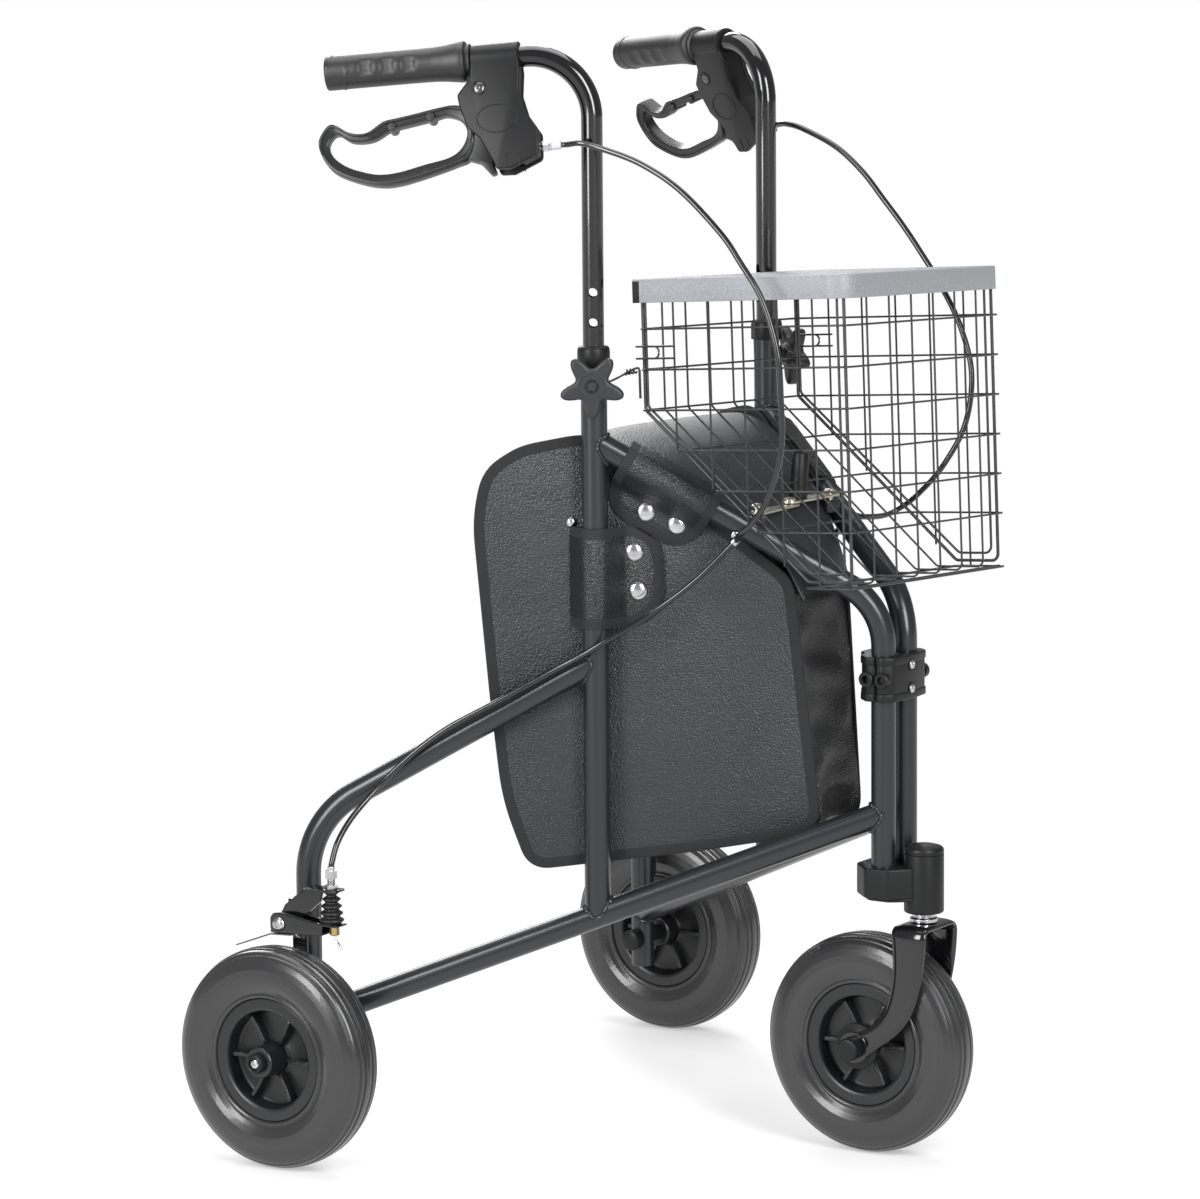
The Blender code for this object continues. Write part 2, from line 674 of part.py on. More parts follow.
def add_front_tube(label, side, parent):
    bottom = BLOCK_BOTTOM_HEIGHT + BLOCK_FLOOR + GAP
    path = bent_path((0, 0, bottom), (0, 0, FRONT_CORNER_HEIGHT),
                     (0, UPRIGHT_BACK, front_slope_height(UPRIGHT_BACK)), FRONT_BEND_RADIUS,
                     BEND_STEPS)
    made = add_object(f"{label}_front_tube", tube(path, FRAME_TUBE_DIAMETER, TUBE_WALL),
                      black_paint(), side, parent)
    # Lug and pin for the brace, welded to the sloping run
    lug_half = 7.5 * MM
    lug_top = BRACE_HEIGHT - GAP
    lug = box((BRACE_OUT - lug_half, BRACE_BACK - lug_half, lug_top - 11 * MM),
              (BRACE_OUT + lug_half, BRACE_BACK + lug_half, lug_top))
    combine(made, lug, "UNION", side)
    pin = BRACE_PIN_DIAMETER / 2
    pin_top = lug_top + 2 * (BRACE_PLATE + GAP) + GAP
    head = pin + 2.2 * MM
    pin_shape = turned([(pin, lug_top - 6 * MM), (pin, pin_top), (head, pin_top),
                        (head, pin_top + 2 * MM), (pin, pin_top + 3.2 * MM)], BOLT_SIDES,
                       axis_matrix((BRACE_OUT, BRACE_BACK, 0), (0, 0, 1)))
    combine(made, pin_shape, "UNION", side)
    upright = cylinder((0, UPRIGHT_BACK, 0), (0, 0, 1), UPRIGHT_RADIUS + GAP,
                       front_slope_height(0), front_slope_height(2 * UPRIGHT_BACK))
    combine(made, upright, "DIFFERENCE", side)


def add_upright(label, side, parent):
    """Hollow post whose foot is cut to sit on the lower rail."""
    foot = rail_height(UPRIGHT_BACK)
    path = [Vector((0, UPRIGHT_BACK, foot)), Vector((0, UPRIGHT_BACK, UPRIGHT_TOP_HEIGHT))]
    wall = UPRIGHT_RADIUS - HANDLE_TUBE_RADIUS - RUNNING_GAP
    made = add_object(f"{label}_upright", tube(path, UPRIGHT_DIAMETER, wall),
                      black_paint(), side, parent)
    rail_run = Vector((0, 1, -RAIL_FALL))
    rail = cylinder((0, UPRIGHT_BACK, foot), rail_run, TUBE_RADIUS + GAP, -60 * MM, 60 * MM)
    bolt = cylinder((0, UPRIGHT_BACK, KNOB_HEIGHT), (1, 0, 0), KNOB_BOLT_DIAMETER / 2 + RUNNING_GAP,
                    0, 20 * MM, BOLT_SIDES)
    combine(made, join(rail, bolt), "DIFFERENCE", side)


def add_lower_rail(label, side, parent):
    """Sloping tube from the front tube to the rear leg, cut round at both ends."""
    path = [Vector((0, 0, rail_height(0))), Vector((0, LEG_BACK, rail_height(LEG_BACK)))]
    made = add_object(f"{label}_lower_rail", tube(path, FRAME_TUBE_DIAMETER, TUBE_WALL),
                      black_paint(), side, parent)
    posts = [cylinder((0, back, 0), (0, 0, 1), TUBE_RADIUS + GAP, rail_height(back) - 40 * MM,
                      rail_height(back) + 40 * MM) for back in (0, LEG_BACK)]
    combine(made, join(*posts), "DIFFERENCE", side)


def rear_slope_height(back):
    return REAR_CORNER_HEIGHT + (LEG_BACK - back) * math.tan(REAR_SLOPE)


def add_rear_leg(label, side, parent, mount):
    """Leg that bends forward and up to the upright, with the hole for the axle."""
    path = bent_path((0, LEG_BACK, LEG_BOTTOM_HEIGHT), (0, LEG_BACK, REAR_CORNER_HEIGHT),
                     (0, UPRIGHT_BACK, rear_slope_height(UPRIGHT_BACK)), REAR_BEND_RADIUS,
                     BEND_STEPS)
    made = add_object(f"{label}_rear_leg", tube(path, FRAME_TUBE_DIAMETER, TUBE_WALL),
                      black_paint(), side, parent)
    upright = cylinder((0, UPRIGHT_BACK, 0), (0, 0, 1), UPRIGHT_RADIUS + GAP,
                       rear_slope_height(LEG_BACK), rear_slope_height(0))
    combine(made, upright, "DIFFERENCE", side)
    hole = cylinder((0, 0, WHEEL_RADIUS), (1, 0, 0), AXLE_RADIUS + GAP, -20 * MM, 20 * MM, BOLT_SIDES)
    tool = add_object(f"{label}_axle_hole", hole, black_paint(), side, mount)
    tool.hide_render = True
    tool.display_type = "WIRE"
    change = made.modifiers.new("axle_hole", "BOOLEAN")
    change.operation = "DIFFERENCE"
    change.solver = "EXACT"
    change.object = tool


def add_rear_axle(label, side, mount):
    """Bolt with a cap inside the leg, a spacer beside the hub and a cap outside it."""
    leg = TUBE_RADIUS + GAP
    head = AXLE_COLLAR_DIAMETER / 2
    cap = AXLE_HEAD_DIAMETER / 2
    end = AXLE_END_DIAMETER / 2
    end_in = -leg - AXLE_END_LENGTH
    hub_in = WHEEL_OFFSET - HUB_INNER_LENGTH - GAP
    hub_out = WHEEL_OFFSET + HUB_OUTER_LENGTH + GAP
    profile = [(end - 2 * MM, end_in), (end, end_in + 2 * MM), (end, -leg), (AXLE_RADIUS, -leg),
               (AXLE_RADIUS, leg), (head, leg), (head, hub_in), (AXLE_RADIUS, hub_in), (AXLE_RADIUS, hub_out),
               (cap, hub_out), (cap, hub_out + AXLE_HEAD_LENGTH - 2 * MM),
               (cap - 2 * MM, hub_out + AXLE_HEAD_LENGTH)]
    axle = turned(profile, BOLT_SIDES, axis_matrix((0, 0, WHEEL_RADIUS), (1, 0, 0)))
    add_object(f"{label}_rear_axle", axle, bright_steel(), side, mount, (0, 0, WHEEL_RADIUS))


def add_collar(label, side, parent):
    """Plastic cap over the upright's top with a hole for the handle tube."""
    skirt = UPRIGHT_RADIUS + GAP
    outer = COLLAR_DIAMETER / 2
    bore = HANDLE_TUBE_RADIUS + RUNNING_GAP
    seat = UPRIGHT_TOP_HEIGHT + GAP
    low = UPRIGHT_TOP_HEIGHT - COLLAR_SKIRT
    high = UPRIGHT_TOP_HEIGHT + COLLAR_LIP
    profile = [(skirt, low), (outer, low), (outer, high - 2 * MM), (outer - 2 * MM, high),
               (bore, high), (bore, seat), (skirt, seat)]
    collar = turned(profile, ROUND_SIDES, axis_matrix((0, UPRIGHT_BACK, 0), (0, 0, 1)), hollow=True)
    add_object(f"{label}_collar", collar, black_plastic(), side, parent)


def add_knob(label, side, parent):
    """Five-lobed hand knob with its boss and bolt in one turned and lobed stack."""
    sides = 4 * KNOB_LOBES
    bolt = KNOB_BOLT_DIAMETER / 2
    tip = HANDLE_TUBE_RADIUS + RUNNING_GAP
    boss_start = UPRIGHT_RADIUS + GAP
    end = KNOB_START + KNOB_THICKNESS
    boss = 8.0 * MM
    disc = 11.5 * MM
    stack = [(bolt, 0, tip), (bolt, 0, boss_start), (boss, 0, boss_start), (boss, 0, KNOB_START),
             (KNOB_RADIUS - 2 * MM, KNOB_LOBE, KNOB_START),
             (KNOB_RADIUS, KNOB_LOBE, KNOB_START + 2 * MM),
             (KNOB_RADIUS, KNOB_LOBE, end - 3 * MM), (KNOB_RADIUS - 2 * MM, KNOB_LOBE, end - 1 * MM),
             (disc, 0, end - 1 * MM), (disc, 0, end)]
    matrix = axis_matrix((0, UPRIGHT_BACK, KNOB_HEIGHT), (1, 0, 0))
    rings = []
    for radius, lobe, out in stack:
        ring = []
        for k in range(sides):
            angle = 2 * math.pi * k / sides
            reach = radius + lobe * math.cos(KNOB_LOBES * angle)
            ring.append(matrix @ Vector((reach * math.cos(angle), reach * math.sin(angle), out)))
        rings.append(ring)
    add_object(f"{label}_knob", loft(rings), black_plastic(), side, parent,
               (0, UPRIGHT_BACK, KNOB_HEIGHT))


# Handles: the height slide carries everything here but the knob

def grip_matrix():
    """Local Z runs back along the grip, local X is square to the tilted brake housing."""
    along = Vector((0, math.cos(GRIP_DROP), -math.sin(GRIP_DROP)))
    down = Vector((0, -math.sin(GRIP_DROP), -math.cos(GRIP_DROP)))
    out = Vector((1, 0, 0))
    down_tilted = down * math.cos(HOUSING_TILT) + out * math.sin(HOUSING_TILT)
    out_tilted = out * math.cos(HOUSING_TILT) - down * math.sin(HOUSING_TILT)
    turn = Matrix((out_tilted, down_tilted, along)).transposed().to_4x4()
    return Matrix.Translation((0, 0, HANDLE_CORNER_HEIGHT)) @ turn


def on_grip(along, down, out):
    """Point from (along the grip, down from its axis, out of the housing's plane)."""
    return grip_matrix() @ Vector((out, down, along))


def add_handle_tube(label, side, parent):
    end = on_grip(GRIP_END - 3 * MM, 0, 0)
    path = bent_path((0, 0, HANDLE_TUBE_LOW_HEIGHT), (0, 0, HANDLE_CORNER_HEIGHT), end,
                     HANDLE_BEND_RADIUS, BEND_STEPS + 1)
    made = add_object(f"{label}_handle_tube", tube(path, HANDLE_TUBE_DIAMETER, TUBE_WALL),
                      black_paint(), side, parent)
    # The holes face the knob, which is square to the side frame
    turn = SPLAY - HANDLE_SPLAY
    across = Vector((math.cos(turn), -math.sin(turn), 0))
    holes = []
    for k in range(-HOLES_BELOW_BOLT, HOLES_ABOVE_BOLT + 1):
        origin = (0, 0, KNOB_HEIGHT + k * HOLE_PITCH)
        holes.append(cylinder(origin, across, HOLE_DIAMETER / 2, 0, 12 * MM, 8))
    combine(made, join(*holes), "DIFFERENCE", side)


def add_grip(label, side, parent):
    bore = HANDLE_TUBE_RADIUS + GAP
    radius = GRIP_DIAMETER / 2
    flare = GRIP_FLARE_DIAMETER / 2
    profile = [(bore, GRIP_START), (flare - 1.5 * MM, GRIP_START), (flare, GRIP_START + 2 * MM),
               (flare - 1.0 * MM, GRIP_START + 7 * MM), (radius + 1.2 * MM, GRIP_START + 17 * MM),
               (radius, GRIP_START + 32 * MM), (radius, GRIP_END - 2 * MM),
               (radius - 2 * MM, GRIP_END), (bore, GRIP_END)]
    grip = turned(profile, ROUND_SIDES, grip_matrix(), hollow=True)
    add_object(f"{label}_grip", grip, black_rubber(), side, parent)


HOUSING_OUTLINE = [
    (100.6, -11.8), (60.0, -11.8), (59.0, 12.4), (60.3, 32.3), (55.5, 49.9), (45.0, 66.4),
    (45.0, 88.0), (69.1, 98.6), (81.0, 98.1), (83.5, 91.6), (94.1, 70.7), (105.0, 59.8),
    (110.7, 42.1), (112.5, 32.0), (101.6, 18.6)]
LEVER_OUTLINE = [
    (76.0, 43.0), (86.0, 40.0), (100.0, 38.0), (114.8, 38.5), (150.0, 43.0), (177.2, 47.4),
    (191.6, 55.8), (206.0, 54.3), (220.6, 45.8), (229.0, 52.3), (232.7, 63.0), (227.5, 78.0),
    (218.0, 88.5), (198.4, 97.6), (180.1, 102.2), (163.2, 101.6), (140.0, 96.5), (117.5, 90.2),
    (105.0, 86.0), (96.0, 89.5), (87.0, 100.5), (82.5, 99.0), (86.0, 88.0), (76.0, 82.0),
    (70.5, 64.0)]
LEVER_LOOP = [
    (123.5, 46.6), (171.8, 54.6), (181.0, 60.0), (192.0, 63.6), (204.0, 61.6), (215.5, 55.0),
    (223.0, 58.5), (224.6, 66.0), (219.0, 75.5), (208.0, 84.3), (184.1, 92.4), (164.3, 91.9),
    (120.4, 82.6), (110.5, 74.6), (106.2, 62.5), (112.0, 51.0)]


def add_brake_housing(label, side, parent):
    """Bracket clamped on the handle tube, with a slot for the lever."""
    half = BRAKE_HOUSING_DEPTH / 2
    corners = [(u * MM, v * MM) for u, v in HOUSING_OUTLINE]
    radii = [5 * MM, 2 * MM, 0, 0, 0, 3 * MM, 3 * MM, 3 * MM, 2 * MM, 0, 3 * MM, 4 * MM, 4 * MM,
             4 * MM, 3 * MM]
    shell = prism(rounded_outline(corners, radii, 2), -half, half, on_grip)
    made = add_object(f"{label}_brake_housing", shell, black_plastic(), side, parent)
    bore = turned([(HANDLE_TUBE_RADIUS + GAP, 20 * MM), (HANDLE_TUBE_RADIUS + GAP, 140 * MM)],
                  ROUND_SIDES, grip_matrix())
    slot_half = LEVER_DEPTH / 2 + RUNNING_GAP
    slot = prism([(63 * MM, 26 * MM), (130 * MM, 26 * MM), (130 * MM, 110 * MM), (63 * MM, 110 * MM)],
                 -slot_half, slot_half, on_grip)
    pivot = on_grip(LEVER_PIVOT[0], LEVER_PIVOT[1], 0)
    square_out = on_grip(0, 0, 1) - on_grip(0, 0, 0)
    pin = cylinder(pivot, square_out, LEVER_PIN_DIAMETER / 2 + GAP, -half - 5 * MM, half + 5 * MM, BOLT_SIDES)
    cable_axis = on_grip(0, CABLE_DROP, 0)
    along = on_grip(1, 0, 0) - on_grip(0, 0, 0)
    cable = cylinder(cable_axis, along, 3 * MM + GAP, 30 * MM, 70 * MM, BOLT_SIDES)
    combine(made, join(bore, slot), "DIFFERENCE", side)
    combine(made, join(pin, cable), "DIFFERENCE", side)


def add_brake_lever(label, side, parent):
    """Closed finger loop with a lug that turns in the housing's slot."""
    half = LEVER_DEPTH / 2
    pivot = on_grip(LEVER_PIVOT[0], LEVER_PIVOT[1], 0)
    square_out = on_grip(0, 0, 1) - on_grip(0, 0, 0)
    outline = catmull_rom([(u * MM, v * MM, 0) for u, v in LEVER_OUTLINE], 2, closed=True)
    body = prism([(p.x, p.y) for p in outline], -half, half, on_grip)
    made = add_object(f"{label}_brake_lever", body, black_plastic(), side, parent, pivot)
    inner = catmull_rom([(u * MM, v * MM, 0) for u, v in LEVER_LOOP], 2, closed=True)
    loop = prism([(p.x, p.y) for p in inner], -half - 5 * MM, half + 5 * MM, on_grip)
    hole = cylinder(pivot, square_out, LEVER_PIN_DIAMETER / 2 + RUNNING_GAP, -half - 5 * MM,
                    half + 5 * MM, BOLT_SIDES)
    combine(made, join(loop, hole), "DIFFERENCE", side)
    pin_half = BRAKE_HOUSING_DEPTH / 2
    pin = cylinder(pivot, square_out, LEVER_PIN_DIAMETER / 2, -pin_half, pin_half, BOLT_SIDES)
    add_object(f"{label}_lever_pin", pin, bright_steel(), side, parent, pivot)


def add_cable_adjuster(label, side, parent):
    """Barrel screwed into the front of the brake housing."""
    matrix = grip_matrix() @ Matrix.Translation((0, CABLE_DROP, 0))
    profile = [(2.6 * MM, 28.0 * MM), (3.2 * MM, 29.0 * MM), (3.2 * MM, 38.0 * MM),
               (4.6 * MM, 38.5 * MM), (4.6 * MM, HOUSING_FRONT - GAP), (3.0 * MM, HOUSING_FRONT - GAP),
               (3.0 * MM, 60.0 * MM)]
    add_object(f"{label}_cable_adjuster", turned(profile, BOLT_SIDES, matrix), bright_steel(), side, parent)


# Rear brake, in the coordinates of the wheel mount

def add_brake_bracket(label, side, mount):
    """Plate on the leg with a flange for the cable and the pivot bolt for the arm."""
    half = BRACKET_THICKNESS / 2
    pivot_y, pivot_z = BRAKE_PIVOT_Y, BRAKE_PIVOT_HEIGHT
    boss = [(pivot_y + 4.5 * MM * math.cos(a), pivot_z + 4.5 * MM * math.sin(a))
            for a in (math.radians(-120 + 30 * k) for k in range(6))]
    outline = [(-42 * MM, FLANGE_HEIGHT + 1 * MM), (-39 * MM, 231 * MM), (-16 * MM, 212 * MM), *boss,
               (5 * MM, 218 * MM), (-2 * MM, 225 * MM), (-24 * MM, FLANGE_HEIGHT + 1 * MM)]
    plate = prism(outline, BRAKE_X - half, BRAKE_X + half, along_x)
    made = add_object(f"{label}_brake_bracket", plate, black_paint(), side, mount)
    flange = box((BRAKE_X - 9 * MM, -59 * MM, FLANGE_HEIGHT),
                 (BRAKE_X + 9 * MM, -26 * MM, FLANGE_HEIGHT + PLATE))
    combine(made, flange, "UNION", side)
    web = box((2 * MM, -11 * MM, 220.5 * MM), (BRAKE_X, -4 * MM, 230 * MM))
    combine(made, web, "UNION", side)
    pin = BRAKE_PIN_DIAMETER / 2
    arm_out = ARM_HALF_WIDTH + GAP
    bolt = turned([(pin, BRAKE_X - arm_out - 1 * MM), (pin, BRAKE_X + arm_out), (6 * MM, BRAKE_X + arm_out),
                   (6 * MM, BRAKE_X + arm_out + 3.2 * MM)], BOLT_SIDES,
                  axis_matrix((0, pivot_y, pivot_z), (1, 0, 0)))
    combine(made, bolt, "UNION", side)
    leg = cylinder((0, 0, 0), (0, 0, 1), TUBE_RADIUS + GAP, 190 * MM, 260 * MM)
    stub = cylinder((BRAKE_X, ADJUSTER_Y, 0), (0, 0, 1), 3 * MM + GAP, FLANGE_HEIGHT - 5 * MM,
                    FLANGE_HEIGHT + 8 * MM, BOLT_SIDES)
    combine(made, join(leg, stub), "DIFFERENCE", side)


def add_brake_adjuster(label, side, mount):
    base = FLANGE_HEIGHT + PLATE + GAP
    top = ADJUSTER_TOP_HEIGHT
    profile = [(3.0 * MM, FLANGE_HEIGHT - 4 * MM), (3.0 * MM, base), (5.4 * MM, base),
               (5.4 * MM, base + 3.5 * MM), (3.4 * MM, base + 3.5 * MM), (3.4 * MM, top - 10 * MM),
               (5.0 * MM, top - 10 * MM), (5.0 * MM, top - 3 * MM), (3.2 * MM, top - 2 * MM),
               (3.2 * MM, top)]
    made = turned(profile, BOLT_SIDES, axis_matrix((BRAKE_X, ADJUSTER_Y, 0), (0, 0, 1)))
    add_object(f"{label}_brake_adjuster", made, bright_steel(), side, mount)


def add_bellows(label, side, mount):
    """Ribbed rubber boot that widens downward between the flange and the arm."""
    bottom = PLATFORM_HEIGHT + GAP
    top = FLANGE_HEIGHT - GAP
    bore = 3.6 * MM
    steps = 2 * BELLOWS_RIBS
    profile = [(bore, bottom)]
    for k in range(steps + 1):
        share = k / steps
        rib = BELLOWS_RIB if k % 2 else -BELLOWS_RIB / 2
        radius = BELLOWS_BOTTOM_RADIUS + (BELLOWS_TOP_RADIUS - BELLOWS_BOTTOM_RADIUS) * share
        profile.append((radius + rib, bottom + (top - bottom) * share))
    profile[1] = (BELLOWS_BOTTOM_RADIUS, bottom)
    profile[-1] = (BELLOWS_TOP_RADIUS, top)
    profile.append((bore, top))
    made = turned(profile, BOLT_SIDES, axis_matrix((BRAKE_X, ADJUSTER_Y, 0), (0, 0, 1)), hollow=True)
    add_object(f"{label}_bellows", made, black_rubber(), side, mount)


def add_brake_arm(label, side, mount):
    """Channel that turns on the bracket's bolt: the cable lifts one end, the other brakes."""
    low, high = BRAKE_X - ARM_HALF_WIDTH, BRAKE_X + ARM_HALF_WIDTH
    pivot = (BRAKE_X, BRAKE_PIVOT_Y, BRAKE_PIVOT_HEIGHT)
    platform = PLATFORM_HEIGHT
    side_view = [(9 * MM, 200.5 * MM), (9 * MM, 216 * MM), (6 * MM, 219 * MM), (-8 * MM, 219 * MM),
                 (-42 * MM, platform), (-60 * MM, platform), (-60 * MM, platform - PLATE),
                 (-44 * MM, platform - PLATE), (-44 * MM, 203 * MM)]
    made = add_object(f"{label}_brake_arm", prism(side_view, low, high, along_x), black_paint(),
                      side, mount, pivot)
    pocket = [(15 * MM, 202.2 * MM), (15 * MM, 225 * MM), (-40 * MM, 225 * MM), (-40 * MM, 204.8 * MM)]
    inside = prism(pocket, low + PLATE, high - PLATE, along_x)
    bolt = cylinder(pivot, (1, 0, 0), BRAKE_PIN_DIAMETER / 2 + RUNNING_GAP, -15 * MM, 15 * MM, BOLT_SIDES)
    combine(made, inside, "DIFFERENCE", side)
    combine(made, bolt, "DIFFERENCE", side)
    thick = 1.3 * MM
    top_line = [(-12 * MM, 201.5 * MM - GAP), (9.5 * MM, 200.5 * MM - GAP), (40 * MM, 188.8 * MM),
                (46 * MM, 186.6 * MM)]
    blade = top_line + [(y, z - thick) for y, z in reversed(top_line)]
    shape = prism(blade, low + 0.5 * MM, high - 0.5 * MM, along_x)
    add_object(f"{label}_brake_blade", shape, bright_steel(), side, mount, pivot)


# Brake cables, held at the housing, the sloping tube and the brake

NEAR_LOOP = [(163, -37, 862), (157, -72, 850), (153, -108, 829), (150, -145, 795), (149, -163, 772),
             (148, -184, 741), (148, -198, 701), (147, -201, 660), (144, -199, 618), (136, -181, 576),
             (134, -164, 554), (131, -152, 545), (120, -142, 539), (105, -132, 535)]
FAR_LOOP = [(163, -37, 862), (161, -72, 847), (159, -100, 826), (157, -122, 801), (156, -140, 784),
            (156, -160, 762), (155, -180, 731), (155, -200, 695), (153, -212, 655), (149, -208, 612),
            (143, -190, 576), (140, -168, 551), (136, -151, 537), (123, -141, 531), (106, -131, 531)]
REAR_RUN = [(123, 533, 12), (154, 502, 14), (192, 472.5, BOLT_SIDES), (238, 445, 18), (272, 425, BOLT_SIDES),
            (323, 397, 14), (366, 376, 13.5), (408, 347, BOLT_SIDES), (432, 322, 24), (446, 302, 35),
            (456, 282, 47)]


def add_brake_cable(label, side, fold_axis, handle_axis, mount):
    """Outer cable from the lever's adjuster, round in front of the frame, to the brake."""
    to_frame = fold_axis.matrix_world.inverted()
    mirror = Matrix.Diagonal((side, 1.0, 1.0, 1.0))

    def from_group(group, point):
        world = group.matrix_world @ (mirror @ Vector(point))
        return to_frame @ world

    start = [from_group(handle_axis, on_grip(along * MM, CABLE_DROP, 0)) for along in (27.7, 22, 12)]
    loop = [to_frame @ Vector((side * x * MM, y * MM, z * MM))
            for x, y, z in (NEAR_LOOP if side == RIGHT else FAR_LOOP)]
    rear = [Vector((side * out * MM, back * MM, up * MM)) for back, up, out in REAR_RUN]
    end = [from_group(mount, (BRAKE_X, ADJUSTER_Y, ADJUSTER_TOP_HEIGHT + rise * MM))
           for rise in (14, 6, 0.3)]
    # Both ends run straight into their adjusters
    route = catmull_rom(start[1:] + loop + rear + end[:-1], 8)
    points = [start[0], *evenly_spaced(route, 3 * CABLE_DIAMETER), end[-1]]
    curve = bpy.data.curves.new(f"{label}_brake_cable", "CURVE")
    curve.dimensions = "3D"
    curve.bevel_depth = CABLE_DIAMETER / 2
    curve.bevel_resolution = 2
    curve.use_fill_caps = True
    spline = curve.splines.new("POLY")
    spline.points.add(len(points) - 1)
    for item, point in zip(spline.points, points):
        item.co = (*point, 1.0)
    curve.materials.append(black_rubber())
    made = bpy.data.objects.new(f"{label}_brake_cable", curve)
    made.parent = fold_axis
    bpy.context.scene.collection.objects.link(made)


def evenly_spaced(points, spacing):
    """Points a steady distance apart along a curve, with both of its ends."""
    lengths = [0.0]
    for before, after in zip(points, points[1:]):
        lengths.append(lengths[-1] + (after - before).length)
    count = round(lengths[-1] / spacing)
    picked = []
    place = 0
    for k in range(count + 1):
        wanted = lengths[-1] * k / count
        while place < len(points) - 2 and lengths[place + 1] < wanted:
            place += 1
        span = lengths[place + 1] - lengths[place]
        picked.append(points[place].lerp(points[place + 1], (wanted - lengths[place]) / span))
    return picked


# Brace

def brace_pivot():
    """World place of the left pivot, on the lug of the sloping tube."""
    x = HINGE_X + BRACE_BACK * math.sin(SPLAY) + BRACE_OUT * math.cos(SPLAY)
    y = HINGE_Y + BRACE_BACK * math.cos(SPLAY) - BRACE_OUT * math.sin(SPLAY)
    return x, y


def add_brace_link(label, side, parent, low):
    """Flat plate from the pivot to the knee, with round ends."""
    pivot_x, pivot_y = brace_pivot()
    knee = Vector((0, pivot_y + BRACE_KNEE_BACK, 0))
    pivot = Vector((pivot_x, pivot_y, 0))
    run = knee - pivot
    angle = math.atan2(run.y, run.x)
    outline = []
    for centre, first in ((pivot, angle + math.pi / 2), (knee, angle - math.pi / 2)):
        for k in range(9):
            turn = first + math.pi * k / 8
            outline.append((centre.x + BRACE_HALF_WIDTH * math.cos(turn),
                            centre.y + BRACE_HALF_WIDTH * math.sin(turn)))
    plate = prism(outline, low, low + BRACE_PLATE, along_z)
    made = add_object(f"{label}_brace_link", plate, bright_steel(), side, parent,
                      (pivot_x, pivot_y, low))
    hole = cylinder((pivot_x, pivot_y, 0), (0, 0, 1), BRACE_PIN_DIAMETER / 2 + RUNNING_GAP,
                    low - 5 * MM, low + 8 * MM, BOLT_SIDES)
    combine(made, hole, "DIFFERENCE", side)


def add_brace_handle(parent, low):
    """Open tube that stands on the upper link beside the knee."""
    pivot_y = brace_pivot()[1]
    foot = Vector((BRACE_HANDLE_FROM_KNEE, pivot_y + BRACE_KNEE_BACK, low))
    top = foot + Vector((BRACE_HANDLE_LEAN, 0, BRACE_HANDLE_LENGTH))
    radius = BRACE_HANDLE_DIAMETER / 2
    wall = BRACE_HANDLE_WALL
    rings = []
    for reach, base, up in ((radius, foot, 0), (radius, top, 0), (radius - wall, top, 0),
                            (radius - wall, foot, 3 * MM)):
        rings.append([base + Vector((x, y, up)) for x, y in ring_points(reach, ROUND_SIDES)])
    add_object("brace_handle", loft(rings), black_rubber(), LEFT, parent, foot)


# Basket and tray

def basket_matrix():
    place = Matrix.Translation((0, HINGE_Y + BASKET_FRONT, BASKET_BOTTOM_HEIGHT))
    return place @ Matrix.Rotation(BASKET_ROLL, 4, "Y") @ Matrix.Rotation(BASKET_PITCH, 4, "X")


